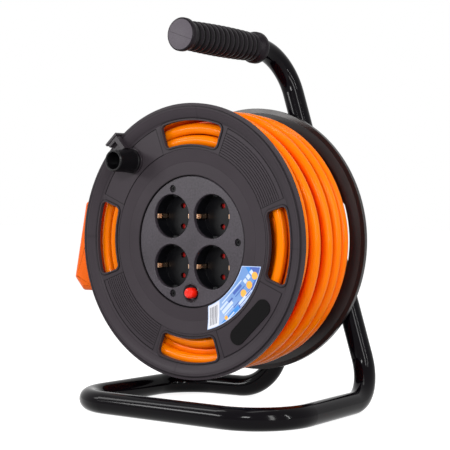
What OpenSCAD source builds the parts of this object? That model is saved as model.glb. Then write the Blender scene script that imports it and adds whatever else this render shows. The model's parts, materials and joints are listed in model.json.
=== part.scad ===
// Extension cord reel: a cable drum with four sockets that turns on a bent tube stand.
//
// Sub-parts are drawn in drum coordinates: the drum's axis lies along Y through x = 0 and
// z = 0, the front lip of the drum is at y = 0, +X is to the right seen from the front,
// +Y to the back and +Z up. on_ground() moves them to the model's origin, which is on the
// ground under the middle of the reel. All sizes are in millimetres.

/* [Drum] */
// Diameter of both flanges
flange_d = 250; // [244:1:256]
// Width of the drum over both rims
drum_w = 107.6; // [104:0.2:112]
// Thickness of the flange walls
wall_t = 3; // [2.4:0.1:3.2]
// Width of the thin lip round each flange
lip_w = 2.7; // [1.5:0.1:4]
// Set-back of that lip behind the rolled edge
lip_set = 1.2; // [0.6:0.1:2]
// Thickness of the rim at its edge
rim_t = 5.1; // [4.5:0.1:5.6]
// Depth of the window ring behind the rim
web_set = 3.9; // [3:0.1:4.2]
// Depth of the inner ring behind the rim
hub_set = 5.2; // [4.6:0.1:5.6]
// Outside diameter of the barrel that carries the cable
barrel_d = 140; // [138:1:144]
// Wall of the barrel
barrel_t = 3; // [2:0.1:3.4]

/* [Windows] */
// Inner radius of the windows
window_in = 88; // [86:0.5:92]
// Outer radius of the windows
window_out = 109.6; // [104:0.1:109.8]
// Half of each window's angle
window_half = 18.6; // [14:0.1:22]
// Corner radius of the windows
window_corner = 4.5; // [2:0.1:6]
// Turn of the window pattern, clockwise seen from the front
window_turn = 1.1; // [0:0.1:4]
// Width of the raised bead round each window
bead_w = 1.6; // [1:0.1:2]
// Height of that bead
bead_h = 0.8; // [0.4:0.1:1.2]
// Pitch of the fine grooves in two of the sectors
groove_pitch = 2.3; // [2:0.1:3]
// Width of the fine grooves
groove_w = 0.6; // [0.4:0.1:0.9]
// Depth of the fine grooves
groove_depth = 0.45; // [0.2:0.05:0.8]

/* [Sockets] */
// Diameter of the socket panel
panel_d = 119.2; // [118:0.2:120]
// Thickness of the socket panel
panel_t = 4; // [3.4:0.1:4.4]
// Depth of the panel's face behind the rim
panel_set = 6.2; // [5.6:0.1:7]
// Gap round the socket panel
panel_gap = 0.5; // [0.3:0.1:1]
// Distance of each socket from the panel's centre lines
socket_offset = 22.8; // [22.6:0.1:23]
// Diameter of a socket well
well_d = 40; // [39.2:0.1:40.2]
// Depth of a socket well
well_depth = 17.5; // [16.5:0.1:19]
// Wall of the socket cups
cup_t = 1.2; // [0.8:0.1:1.2]
// Spacing of the two pin holes
pin_spacing = 19; // [18.8:0.1:19.2]
// Diameter of a pin hole
pin_hole_d = 5.3; // [5:0.1:5.6]
// Thickness of the well's floor
floor_t = 3; // [2.4:0.1:3.4]
// Travel of a socket's shutter
shutter_travel = 6; // [5.8:0.1:6.2]
// Distance of the panel screws from the centre
panel_screw_r = 52.2; // [52.1:0.1:53]
// Distance of the reset button below the centre
button_drop = 46.7; // [46.6:0.1:47.4]
// Diameter of the reset button
button_d = 9.8; // [8.6:0.1:10]
// Travel of the reset button
button_travel = 2.5; // [1:0.1:2.6]

/* [Crank knob] */
// Distance of the knob from the drum's axis
knob_r = 99; // [96:0.5:100]
// Angle of the knob, from +X towards +Z
knob_angle = 132; // [128:1:140]
// Length of the turning knob
knob_len = 26; // [20:0.5:34]
// Diameter of the knob at its base
knob_base_d = 22.6; // [20:0.2:23]
// Diameter of the knob at its tip
knob_tip_d = 20; // [18:0.2:20.4]
// Diameter of the hollow in the knob
knob_bore_d = 15.5; // [14:0.1:16]

/* [Cable] */
// Diameter of the cable
cable_d = 10; // [9:0.1:10]
// Radius of the outermost turn, at the cable's middle
turn_r_front = 115; // [114:0.5:115.5]
// Angle at which the cable leaves the drum
tail_angle = 118; // [118:1:119]

/* [Stand] */
// Height of the drum's axis above the ground
axle_height = 155; // [150:1:170]
// Outside diameter of the stand's tube
tube_d = 20; // [18:0.5:20]
// Wall of that tube
tube_t = 1.5; // [1:0.1:2.5]
// Distance of the rear tubes' middle behind the drum
rear_gap = 14.4; // [13.4:0.1:20]
// Distance of the handle to the right of the drum's axis
handle_x = 21.8; // [16:0.2:30]
// Height of the handle's front end above the drum's axis
handle_front_z = 181.7; // [180:0.1:196]
// Height of the handle's rear end above the drum's axis
handle_rear_z = 178.6; // [172:0.2:190]
// Front end of the handle's tube, ahead of the drum
handle_front_y = 33; // [20:1:44]
// Bend radius between handle and upright
handle_bend = 42; // [28:1:44]
// Foot of the upright, to the right of the drum's axis
upright_foot_x = 122; // [116:1:128]
// Bend radius at the upright's foot
upright_bend = 40; // [30:1:46]
// Front right corner of the base, to the right of the drum's axis
front_right_x = 133; // [122:1:138]
// Front right corner of the base, ahead of the drum
front_right_y = 54; // [46:1:70]
// Front left corner of the base, to the left of the drum's axis
front_left_x = 99; // [92:1:108]
// Front left corner of the base, ahead of the drum
front_left_y = 46; // [40:1:60]
// Rear left corner of the base, to the left of the drum's axis
rear_left_x = 96; // [90:1:106]
// Rear left corner of the base, behind the drum's front
rear_left_y = 115; // [104:1:120]
// Foot of the axle leg, to the right of the drum's axis
leg_foot_x = 25; // [18:1:34]
// Bend radius of the base's front right corner
front_right_bend = 50; // [36:1:56]
// Bend radius of the base's other corners
base_bend = 43; // [34:1:46]
// Height of the axle leg's top above the drum's axis
leg_top_z = 22; // [20:1:34]

/* [Grip] */
// Length of the grip
grip_len = 117; // [100:1:118]
// Diameter of the grip's end discs
grip_end_d = 29.5; // [27:0.5:32]
// Diameter of the grip's barrel over its ribs
grip_d = 28.4; // [26:0.2:30]
// Number of grip ribs
grip_ribs = 13; // [8:1:16]
// Depth of the grooves between the ribs
grip_groove = 1.7; // [1:0.1:2.4]

/* [Axle] */
// Diameter of the axle
axle_d = 16; // [12:0.5:16]
// Diameter of the axle's threaded end
axle_thread_d = 12; // [10:0.5:12]
// Gap between the contact cover and the axle's end
axle_clear = 6.5; // [5:0.5:14]
// Thickness of the bracket plate
bracket_t = 3; // [2:0.1:3]
// Diameter of the bracket bolt
bolt_d = 8; // [6:0.5:8]

/* [Fits] */
// Clearance of a press or slip fit inside one body
fit_gap = 0.1; // [0.05:0.01:0.15]
// Radial clearance of the running fits
run_gap = 0.06; // [0.03:0.01:0.09]
// Gap between faces that move past each other
play = 0.3; // [0.2:0.05:0.4]

/* [Hidden] */
$fn = 96;

// Drum
eps = 0.01;
flange_r = flange_d / 2;
lip_r = flange_r - lip_w;
camber_out = lip_r - 0.8;
camber_in = window_out + 1.2;
camber_steps = 6;
panel_r = panel_d / 2;
seat_r = panel_r + panel_gap;
seat_y = panel_set + panel_t;
ledge_in = 55;
ledge_t = 2.4;
barrel_r = barrel_d / 2;
cone_in = barrel_r + 2;
cone_out = window_in - 4;
barrel_in = barrel_r - barrel_t;
spigot_out = barrel_in - fit_gap;
spigot_in = spigot_out - 3;
spigot_len = 12;
inner_face = hub_set + wall_t;
web_face = web_set + wall_t;

// Tie pillars and screws
tie_r = 59;
tie_angles = [45, 135, 225, 315];
pillar_r = 4.4;
pillar_joint_y = 58;
tie_screw_r = 1.8;
tie_head_r = 3.9;
tie_head_h = 2.4;

// Windows and grooves
window_angles = [for (i = [0:3]) 90 * i - window_turn];
sector_trim = window_half + 3.4;

// Sockets
well_r = well_d / 2;
cup_r = well_r + cup_t;
well_floor_y = panel_set + well_depth;
pocket_y = well_floor_y + floor_t;
pocket_depth = 3;
cup_end_y = pocket_y + pocket_depth;
pin_hole_r = pin_hole_d / 2;
socket_centres = [[-socket_offset, socket_offset], [socket_offset, socket_offset],
    [-socket_offset, -socket_offset], [socket_offset, -socket_offset]];
shutter_hole_r = 3;
shutter_web = 4;
shutter_len = pin_spacing + 7.4;
rib_w = 4.8;
rib_h = 2;
clip_x = well_r - 1.8;
clip_t = 0.8;
clip_w = 4;
panel_screw_angles = [0, 113.8, 246.2];
screw_boss_r = 3.2;
screw_boss_len = 12;
screw_web_t = 3.6;
panel_screw_shaft = 1.4;
panel_screw_head = 3.1;
post_top_z = 46;

// Contact carrier
carrier_y = cup_end_y;
carrier_r = 53.4;
carrier_plate = 2.5;
carrier_end_y = carrier_y + 16.3;
cover_t = 2;
cover_end_y = carrier_end_y + cover_t;
strip_y = carrier_end_y - 2.8;
strip_t = 0.8;
contact_half = 2.35;
contact_h = 6;
earth_y = carrier_y + carrier_plate + play;
carrier_screw_r = 1.5;
cutout_w = 16;
cutout_h = 12.8;
cutout_y = well_floor_y - 11.2;
cutout_len = 30;
button_r = button_d / 2;
button_proud = 6;
bezel_r = 8.75;
bezel_tail_r = min(bezel_r - 1, ledge_in - play - button_drop);
stem_r = 2.5;

// Axle and hub
axle_r = axle_d / 2;
rear_y = drum_w + rear_gap;
bracket_y = rear_y - tube_d / 2 - fit_gap - bracket_t;
hub_face_y = drum_w - 1;
bush_r = axle_r + 3;
bush_flange_r = axle_r + 6.5;
bush_flange_t = 1.3;
hub_r = bush_r + 6;
bush_bore = axle_r + run_gap;
washer_t = 1.3;
ring_t = 1;
axle_start_y = cover_end_y + axle_clear;
ring_y = axle_start_y + 2;
inner_washer_y = ring_y + ring_t + 0.2;
hub_start_y = inner_washer_y + washer_t + play + bush_flange_t;
nut_t = 8;
nut_washer_t = 2;
axle_back_y = rear_y + tube_d / 2 + nut_washer_t + nut_t + 5;

// Crank knob
knob_x = knob_r * cos(knob_angle);
knob_z = knob_r * sin(knob_angle);
knob_plate_t = 2.4;
knob_plate_y = web_set - fit_gap - knob_plate_t;
knob_base_y = knob_plate_y - play;
rivet_r = 3;
knob_web_t = 5;

// Cable
cable_r = cable_d / 2;
cable_sides = 6;
rings_per_turn = 24;
winding_gap = 0.4;
turn_y_front = web_face + winding_gap + cable_r;
core_side_front = inner_face + 0.4;
core_side_rear = drum_w - core_side_front;
core_in = barrel_r + play;
end_run = cable_d;

// The outer layer from the rear to the front: [turns, drop below the outermost turn in cable
// diameters, share of the width from front to rear]. It starts deep beside the rear flange,
// lies loosely over the middle, slips down beside the front flange and climbs out again.
layer_knots = [
    [0, 1.54, 1], [0.3, 1.3, 1], [0.67, 0.92, 0.982], [1, 0.58, 0.931], [1.35, 0.3, 0.883],
    [1.67, 0.15, 0.845], [2.17, 0.07, 0.773], [2.67, 0.02, 0.689], [3.17, 0, 0.599],
    [3.67, 0, 0.506], [4.17, 0, 0.37], [4.67, -0.12, 0.24], [4.92, 0.12, 0.145],
    [5, 0.4, 0.126], [5.17, 0.68, 0.04], [5.42, 0.77, 0.007], [5.54, 0.4, 0.012],
    [5.67, -0.03, 0.03], [5.92, -0.02, 0.007], [6, 0, 0]];
last_knot = len(layer_knots) - 1;
outer_turns = layer_knots[last_knot][0];

// Stand
tube_r = tube_d / 2;
tube_in = tube_r - tube_t;
ground_z = -axle_height;
base_z = ground_z + tube_r;
upright_slope = (upright_foot_x - handle_x) / (handle_rear_z - base_z);
upright_x = upright_foot_x + upright_slope * base_z;
leg_slope = leg_foot_x / base_z;
tube_points = [
    [handle_x, -handle_front_y, handle_front_z],
    [handle_x, rear_y, handle_rear_z],
    [upright_foot_x, rear_y, base_z],
    [front_right_x, -front_right_y, base_z],
    [-front_left_x, -front_left_y, base_z],
    [-rear_left_x, rear_left_y, base_z],
    [leg_foot_x, rear_y, base_z],
    [leg_slope * leg_top_z, rear_y, leg_top_z]];
tube_bends = [handle_bend, upright_bend, front_right_bend, base_bend, base_bend, base_bend];

// The middle of the reel, from its outermost points
bend_steps = 24;
outline = [for (i = [1:len(tube_points) - 2]) for (p = bend_points(i, bend_steps)) p];
x_low = min(-flange_r, min([for (p = outline) p[0]]) - tube_r);
x_high = max(flange_r, max([for (p = outline) p[0]]) + tube_r);
y_low = min([for (p = outline) p[1]]) - tube_r;
mid_x = (x_low + x_high) / 2;
mid_y = (y_low + axle_back_y) / 2;

// The tail: it runs on straight from the winding, lifts off the turns and falls to the plug
tail_start = turn_point(outer_turns) + end_run * turn_heading(outer_turns);
relief_top = [-126, 31, 52];
relief_heading = [cos(250), 0, sin(250)];
relief_len = 20;
tail_points = [
    tail_start,
    tail_start + 12 * turn_heading(outer_turns),
    [-85, 13.4, 85],
    [-94, 15.6, 80.6],
    [-102, 19, 76.2],
    [-110, 24, 71.2],
    [-116, 28, 66.4],
    [-120.6, 30.4, 61.8],
    relief_top - 5 * relief_heading,
    relief_top];
tail_sides = 12;

// The plug: an angled one, its outline seen from the front
plug_back_y = 20;
plug_body_t = 22;
plug_bevel = 3;
plug_outline = [[-142, 36], [-157, -38], [-146, -50.5], [-128, -50.5], [-119.6, -38],
    [-122, 0], [-122.4, 36]];
plug_centre = [-138.2, -30];
plug_face_r = 18.7;
plug_face_t = 14;
plug_pin_r = 2.4;
plug_pin_len = 19.1;
plug_pin_taper = 2;
plug_pin_root_r = 1.9;
plug_pin_root_len = 7.8;
plug_front_y = plug_back_y + plug_body_t + plug_face_t;

// ---------------------------------------------------------------- helpers

// From drum coordinates to the model's origin
module on_ground() translate([-mid_x, -mid_y, axle_height]) children();

// A solid of revolution about the drum's axis from a profile of [radius, y] points
module turned(profile) rotate([-90, 0, 0]) rotate_extrude() polygon(profile);

// The same about an axis through x, z
module turned_at(x, z, profile) translate([x, 0, z]) turned(profile);

// A part of a ring between two angles, from +X towards +Z, from a profile
module turned_sector(from, to, profile)
    rotate([-90, 0, 0]) rotate([0, 0, -to]) rotate_extrude(angle = to - from) polygon(profile);

// A plain ring, bored when r_in is above zero
module ring(r_in, r_out, y0, y1)
    turned([[r_in, y0], [r_out, y0], [r_out, y1], [r_in, y1]]);

// A cylinder along Y at x, z
module rod(x, z, r, y0, y1) translate([x, y0, z]) rotate([-90, 0, 0]) cylinder(r = r, h = y1 - y0);

// A hexagon nut or head along Y, its width across flats
module hex_head(x, z, flats, y0, y1)
    translate([x, y0, z]) rotate([-90, 0, 0]) cylinder(r = flats / 2 / cos(30), h = y1 - y0, $fn = 6);

// A box from its low and high corners
module box(low, high) translate(low) cube(high - low);

// A point at a radius and angle, as [x, z]
function polar(r, a) = [r * cos(a), r * sin(a)];

function unit(v) = v / norm(v);

// A tube swept along points, with its end faces square to its ends
function headings(p) = [for (i = [0:len(p) - 1])
    unit(p[min(i + 1, len(p) - 1)] - p[max(i - 1, 0)])];
function carried(t, side, i = 0) = i >= len(t) ? [] :
    let (s = unit(side - (side * t[i]) * t[i])) concat([s], carried(t, s, i + 1));
module swept(points, side, r, sides) {
    t = headings(points);
    u = carried(t, side);
    n = len(points);
    skin = [for (i = [0:n - 1]) for (k = [0:sides - 1])
        points[i] + r * (cos(360 * k / sides) * u[i] + sin(360 * k / sides) * cross(t[i], u[i]))];
    walls = [for (i = [0:n - 2]) for (k = [0:sides - 1])
        let (a = i * sides + k, b = i * sides + (k + 1) % sides)
        each [[a, a + sides, b], [b, a + sides, b + sides]]];
    start = [for (k = [1:sides - 2]) [0, k, k + 1]];
    end = [for (k = [1:sides - 2])
        [(n - 1) * sides, (n - 1) * sides + k + 1, (n - 1) * sides + k]];
    polyhedron(concat(skin), concat(walls, start, end));
}

// The tube's path: the turn at corner i of tube_points
function corner_in(i) = unit(tube_points[i] - tube_points[i - 1]);
function corner_out(i) = unit(tube_points[i + 1] - tube_points[i]);
function corner_angle(i) = acos(corner_in(i) * corner_out(i));
function corner_trim(i) = tube_bends[i - 1] * tan(corner_angle(i) / 2);
function bend_start(i) = tube_points[i] - corner_trim(i) * corner_in(i);
function bend_end(i) = tube_points[i] + corner_trim(i) * corner_out(i);
function bend_side(i) = -unit(corner_out(i) - (corner_out(i) * corner_in(i)) * corner_in(i));
function bend_centre(i) = bend_start(i) - tube_bends[i - 1] * bend_side(i);
function bend_points(i, steps) = [for (k = [0:steps]) let (a = corner_angle(i) * k / steps)
    bend_centre(i) + tube_bends[i - 1] * (cos(a) * bend_side(i) + sin(a) * corner_in(i))];

// A frame that takes local X, Y and Z to three directions at a point
module frame_at(x, y, z, p)
    multmatrix([[x[0], y[0], z[0], p[0]], [x[1], y[1], z[1], p[1]], [x[2], y[2], z[2], p[2]],
        [0, 0, 0, 1]]) children();

module straight_run(from, to, r) {
    z = unit(to - from);
    x = unit(cross(abs(z[1]) < 0.9 ? [0, 1, 0] : [1, 0, 0], z));
    frame_at(x, cross(z, x), z, from) cylinder(r = r, h = norm(to - from));
}

module bend_run(i, r)
    frame_at(bend_side(i), corner_in(i), cross(bend_side(i), corner_in(i)), bend_centre(i))
        rotate_extrude(angle = corner_angle(i)) translate([tube_bends[i - 1], 0]) circle(r = r);

// The bends are a hair thinner than the straights, which reach a little way over them
bend_thinning = 0.02;
bend_overlap = 0.5;
module tube_run(r, extra) {
    last = len(tube_points) - 1;
    for (i = [1:last - 1]) bend_run(i, r - bend_thinning);
    for (i = [0:last - 1]) {
        from = i == 0 ? tube_points[0] - extra * corner_in(1) : bend_end(i) - bend_overlap * corner_out(i);
        to = i == last - 1 ? tube_points[last] + extra * corner_out(i) :
            bend_start(i + 1) + bend_overlap * corner_in(i + 1);
        straight_run(from, to, r);
    }
}

// ---------------------------------------------------------------- stand

module frame_tube() color([0.05, 0.05, 0.06]) on_ground() difference() {
    tube_run(tube_r, 0);
    tube_run(tube_in, 1);
    rod(0, 0, axle_thread_d / 2 + fit_gap, rear_y - tube_d, rear_y + tube_d);
    rod(upright_x, 0, bolt_d / 2 + fit_gap, rear_y - tube_d, rear_y + tube_d);
}

// Grip profile from its closed front end: [radius, distance]
grip_wall = 4;
grip_neck = 12.3;
grip_head = 6.5;
grip_collar = 8;
grip_first_rib = 13;
// The bore opens towards the rear, where the tube starts to bend
grip_flare = 1.6;
grip_flare_len = 11;
rib_pitch = (grip_len - grip_first_rib - grip_collar - 3) / grip_ribs;
function grip_swell(t) = grip_d / 2 - 1.1 * pow(2 * t - 1, 2);
grip_profile = concat(
    [[0, 0], [grip_end_d / 2 - 0.8, 0], [grip_end_d / 2, 0.8], [grip_end_d / 2, grip_head - 1],
        [grip_end_d / 2 - 1, grip_head], [grip_neck, grip_head + 0.6],
        [grip_neck, grip_first_rib - 1]],
    [for (i = [0:grip_ribs - 1]) let (r = grip_swell((i + 0.5) / grip_ribs),
        s = grip_first_rib + i * rib_pitch)
        each [[r - grip_groove, s], [r, s + 0.25 * rib_pitch], [r, s + 0.75 * rib_pitch],
            [r - grip_groove, s + rib_pitch - 0.3]]],
    [[grip_neck + 0.4, grip_len - grip_collar - 2], [grip_end_d / 2 - 1, grip_len - grip_collar],
        [grip_end_d / 2, grip_len - grip_collar + 1], [grip_end_d / 2, grip_len - 2],
        [grip_end_d / 2 - 1.6, grip_len], [tube_r + fit_gap + grip_flare, grip_len],
        [tube_r + fit_gap, grip_len - grip_flare_len], [tube_r + fit_gap, grip_wall],
        [0, grip_wall]]);

module handle_grip() color([0.09, 0.09, 0.1]) on_ground() {
    z = corner_in(1);
    x = [1, 0, 0];
    start = tube_points[0] - (grip_wall + fit_gap) * z;
    frame_at(x, cross(z, x), z, start) rotate_extrude() polygon(grip_profile);
}

module leg_end_cap() color([0.05, 0.05, 0.05]) on_ground() {
    last = len(tube_points) - 1;
    z = corner_out(last - 1);
    x = unit(cross([0, 1, 0], z));
    end = tube_points[last];
    frame_at(x, cross(z, x), z, end) {
        cylinder(r = tube_r, h = 2);
        translate([0, 0, -10]) cylinder(r = tube_in - fit_gap, h = 10);
    }
}

plate_r = 18;
module axle_bracket() color([0.08, 0.08, 0.09]) on_ground() difference() {
    union() {
        rod(0, 0, plate_r, bracket_y, bracket_y + bracket_t);
        rod(upright_x, 0, plate_r, bracket_y, bracket_y + bracket_t);
        box([0, bracket_y, -plate_r], [upright_x, bracket_y + bracket_t, plate_r]);
    }
    rod(0, 0, axle_thread_d / 2 + fit_gap, bracket_y - 1, bracket_y + bracket_t + 1);
    rod(upright_x, 0, bolt_d / 2 + fit_gap, bracket_y - 1, bracket_y + bracket_t + 1);
}

module axle() color([0.62, 0.63, 0.65]) on_ground() turned([
    [0, axle_start_y], [axle_r - 1, axle_start_y], [axle_r, axle_start_y + 1],
    [axle_r, ring_y - 0.1], [axle_r - 0.8, ring_y - 0.1], [axle_r - 0.8, ring_y + 1.1],
    [axle_r, ring_y + 1.1], [axle_r, bracket_y], [axle_thread_d / 2, bracket_y],
    [axle_thread_d / 2, axle_back_y - 1], [axle_thread_d / 2 - 1, axle_back_y],
    [0, axle_back_y]]);

module axle_nut() color([0.66, 0.67, 0.68]) on_ground() {
    back = rear_y + tube_r + fit_gap;
    ring(axle_thread_d / 2 + fit_gap, axle_thread_d, back, back + nut_washer_t);
    difference() {
        hex_head(0, 0, 19, back + nut_washer_t + fit_gap, back + nut_washer_t + nut_t);
        rod(0, 0, axle_thread_d / 2 + fit_gap, back, back + 2 * nut_t);
    }
}

module bracket_bolt() color([0.66, 0.67, 0.68]) on_ground() {
    back = rear_y + tube_r + fit_gap;
    head_t = 2.6;
    rod(upright_x, 0, bolt_d, bracket_y - head_t, bracket_y - fit_gap);
    rod(upright_x, 0, bolt_d / 2, bracket_y - fit_gap - eps, back + 11);
    difference() {
        hex_head(upright_x, 0, 13, back, back + 6.5);
        rod(upright_x, 0, bolt_d / 2 + fit_gap, back - 1, back + 8);
    }
}

module retaining_ring() color([0.4, 0.4, 0.42]) on_ground()
    ring(axle_r - 0.7, axle_r + 2.6, ring_y, ring_y + ring_t);

module retaining_washer() color([0.66, 0.67, 0.68]) on_ground()
    ring(axle_r + fit_gap, bush_flange_r, inner_washer_y, inner_washer_y + washer_t);

module thrust_washer() color([0.66, 0.67, 0.68]) on_ground()
    ring(axle_r + fit_gap, bush_flange_r,
        hub_face_y + bush_flange_t + play, bracket_y - fit_gap);

// ---------------------------------------------------------------- drum shell

// The outside of a flange, from its inner ring to its edge, as [radius, depth] points
function camber(k) = let (t = k / camber_steps)
    [camber_in + t * (camber_out - camber_in), web_set * pow(1 - t, 1.7)];
flange_outside = concat(
    [[cone_in, hub_set], [cone_out, web_set]],
    [for (k = [0:camber_steps]) camber(k)],
    [[lip_r, 0], [lip_r, lip_set], [flange_r, lip_set], [flange_r, rim_t],
        [lip_r - 1.6, rim_t], [camber_in + 1, web_face], [cone_out, web_face],
        [cone_in, inner_face], [spigot_out, inner_face], [spigot_out, inner_face + spigot_len],
        [spigot_in, inner_face + spigot_len]]);

// A window's outline as [x, z] points, grown by a margin
arc_steps = 16;
corner_steps = 6;
function arc(centre, r, from, to, steps) =
    [for (k = [0:steps]) centre + polar(r, from + (to - from) * k / steps)];
function window_outline(angle, grow) =
    let (r_in = window_in - grow, r_out = window_out + grow, rc = window_corner + grow,
        reach = window_half + grow / (window_in + window_out) * 360 / PI,
        inner_a = reach - asin(rc / (r_in + rc)),
        outer_a = reach - asin(rc / (r_out - rc)))
    concat(
        arc([0, 0], r_out, angle - outer_a, angle + outer_a, arc_steps),
        arc(polar(r_out - rc, angle + outer_a), rc, angle + outer_a, angle + reach + 90, corner_steps),
        arc(polar(r_in + rc, angle + inner_a), rc, angle + reach + 90, angle + inner_a + 180,
            corner_steps),
        arc([0, 0], r_in, angle + inner_a, angle - inner_a, arc_steps),
        arc(polar(r_in + rc, angle - inner_a), rc, angle - inner_a + 180, angle - reach + 270,
            corner_steps),
        arc(polar(r_out - rc, angle - outer_a), rc, angle - reach + 270, angle - outer_a + 360,
            corner_steps));

// A window's prism from depth y0 to y1
module window(angle, grow, y0, y1)
    translate([0, y1, 0]) rotate([90, 0, 0]) linear_extrude(y1 - y0)
        polygon(clean(window_outline(angle, grow)));

// The same outline without points that repeat
function clean(p) = [for (i = [0:len(p) - 1])
    if (norm(p[i] - p[(i + 1) % len(p)]) > 10 * eps) p[i]];

module band(from, to, r_in, r_out, y0, y1)
    turned_sector(from, to, [[r_in, y0], [r_out, y0], [r_out, y1], [r_in, y1]]);

// Beads round the windows, standing out of the web
module window_beads() for (a = window_angles) window(a, bead_w, web_set - bead_h, web_face);
module window_cuts() for (a = window_angles) window(a, 0, -1, web_face + 5);

// Fine concentric grooves in two sectors, outline grooves round all four
module flange_grooves() {
    ring(cone_out - groove_w / 2, cone_out + groove_w / 2, -1, web_set + groove_depth);
    for (a = window_angles)
        band(a + sector_trim, a + 90 - sector_trim, camber_in - 1 - groove_w, camber_in - 1,
            -1, web_set + groove_depth);
    for (a = [0, 180], r = [cone_out + 2.4:groove_pitch:camber_in - 4])
        band(a - window_turn + sector_trim, a - window_turn + 90 - sector_trim, r, r + groove_w,
            -1, web_set + groove_depth);
}

module front_flange() color([0.29, 0.28, 0.3]) on_ground() difference() {
    union() {
        turned(concat([[ledge_in, seat_y], [seat_r, seat_y], [seat_r, hub_set]], flange_outside,
            [[spigot_in, seat_y + ledge_t], [ledge_in, seat_y + ledge_t]]));
        window_beads();
        for (a = tie_angles) {
            p = polar(tie_r, a);
            rod(p[0], p[1], pillar_r, seat_y + 0.5, pillar_joint_y);
        }
        for (a = panel_screw_angles) {
            p = polar(panel_screw_r, a);
            rod(p[0], p[1], screw_boss_r, seat_y + 0.2, seat_y + screw_boss_len);
            rotate([0, -a, 0]) box([panel_screw_r, seat_y + 0.8, -screw_web_t / 2],
                [ledge_in + 2, seat_y + screw_boss_len - 1, screw_web_t / 2]);
        }
    }
    window_cuts();
    flange_grooves();
    for (a = tie_angles) {
        p = polar(tie_r, a);
        rod(p[0], p[1], tie_screw_r + fit_gap, pillar_joint_y - 22, pillar_joint_y + 1);
    }
    for (a = panel_screw_angles) {
        p = polar(panel_screw_r, a);
        rod(p[0], p[1], panel_screw_shaft + fit_gap, seat_y - 1, seat_y + 10);
    }
    rod(knob_x, knob_z, rivet_r + fit_gap, -1, web_face + 1);
}

rear_rib_count = 8;
module rear_flange() color([0.06, 0.055, 0.06]) on_ground()
    translate([0, drum_w, 0]) mirror([0, 1, 0]) difference() {
        union() {
            turned(concat([[hub_r, hub_set]], flange_outside,
                [[spigot_in, inner_face], [hub_r, inner_face]]));
            ring(bush_r + fit_gap, hub_r, drum_w - hub_face_y, drum_w - hub_start_y);
            window_beads_rear();
            for (k = [0:rear_rib_count - 1]) rotate([0, 360 / rear_rib_count * (k + 0.5), 0])
                box([hub_r - 1, hub_set - 2.6, -1.4], [cone_in - 1, hub_set + 1, 1.4]);
            for (a = tie_angles) {
                p = polar(tie_r, a);
                rod(p[0], p[1], pillar_r + 1, hub_set, drum_w - pillar_joint_y - fit_gap);
            }
        }
        for (a = window_angles) window(-a, 0, -1, web_face + 5);
        for (a = tie_angles) {
            p = polar(tie_r, a);
            rod(p[0], p[1], tie_screw_r + fit_gap, 0, drum_w);
            rod(p[0], p[1], tie_head_r + fit_gap, -1, hub_set + tie_head_h);
        }
    }

module window_beads_rear() for (a = window_angles) window(-a, bead_w, web_set - bead_h, web_face);

module drum_barrel() color([0.06, 0.055, 0.06]) on_ground() difference() {
    ring(barrel_in, barrel_r, inner_face, drum_w - inner_face);
    translate([0, cable_inner_y, barrel_in - 5]) cylinder(r = cable_r + play, h = 10);
}

module tie_screws() color([0.6, 0.61, 0.62]) on_ground() for (a = tie_angles) {
    p = polar(tie_r, a);
    head_y = drum_w - hub_set - tie_head_h;
    rod(p[0], p[1], tie_screw_r, pillar_joint_y - 20, head_y + 0.2);
    rod(p[0], p[1], tie_head_r, head_y, head_y + tie_head_h);
}

module bush(y0, y1, flange_y) {
    ring(bush_bore, bush_r, y0, y1);
    ring(bush_bore, bush_flange_r, flange_y, flange_y + bush_flange_t);
}

bush_len = 14;
module hub_bush_inner() color([0.85, 0.84, 0.8]) on_ground()
    bush(hub_start_y - bush_flange_t, hub_start_y + bush_len, hub_start_y - bush_flange_t);

module hub_bush_outer() color([0.85, 0.84, 0.8]) on_ground()
    bush(hub_face_y - bush_len, hub_face_y + bush_flange_t, hub_face_y);

// ---------------------------------------------------------------- sockets

panel_edge = 0.8;
module socket_panel() color([0.22, 0.22, 0.23]) on_ground() difference() {
    union() {
        turned([[0, panel_set], [panel_r - panel_edge, panel_set],
            [panel_r, panel_set + panel_edge], [panel_r, seat_y], [0, seat_y]]);
        for (z = [0, post_top_z]) rod(0, z, 4.2, seat_y - 0.5, cup_end_y);
    }
    for (c = socket_centres) {
        rod(c[0], c[1], well_r, panel_set - 1, seat_y + 1);
        turned_at(c[0], c[1], [[0, panel_set - 0.5], [well_r + 1, panel_set - 0.5],
            [well_r, panel_set + 0.5], [0, panel_set + 0.5]]);
    }
    for (z = [0, post_top_z]) rod(0, z, carrier_screw_r + fit_gap, cup_end_y - 13, cup_end_y + 1);
    for (a = panel_screw_angles) {
        p = polar(panel_screw_r, a);
        rod(p[0], p[1], panel_screw_head + 0.35, panel_set - 1, seat_y - 1.2);
        rod(p[0], p[1], panel_screw_shaft + fit_gap, panel_set, seat_y + 1);
    }
    rod(0, -button_drop, bezel_r + fit_gap, panel_set - 1, seat_y + 1);
}

module panel_screws() color([0.14, 0.14, 0.15]) on_ground() for (a = panel_screw_angles) {
    p = polar(panel_screw_r, a);
    head_y = seat_y - 1.2 - fit_gap;
    rod(p[0], p[1], panel_screw_shaft, head_y - 0.2, seat_y + 9);
    difference() {
        rod(p[0], p[1], panel_screw_head, head_y - 1.4, head_y);
        hex_head(p[0], p[1], 2.4, head_y - 2, head_y - 0.5);
    }
}

module at_socket(n) translate([socket_centres[n - 1][0], 0, socket_centres[n - 1][1]]) children();

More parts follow.
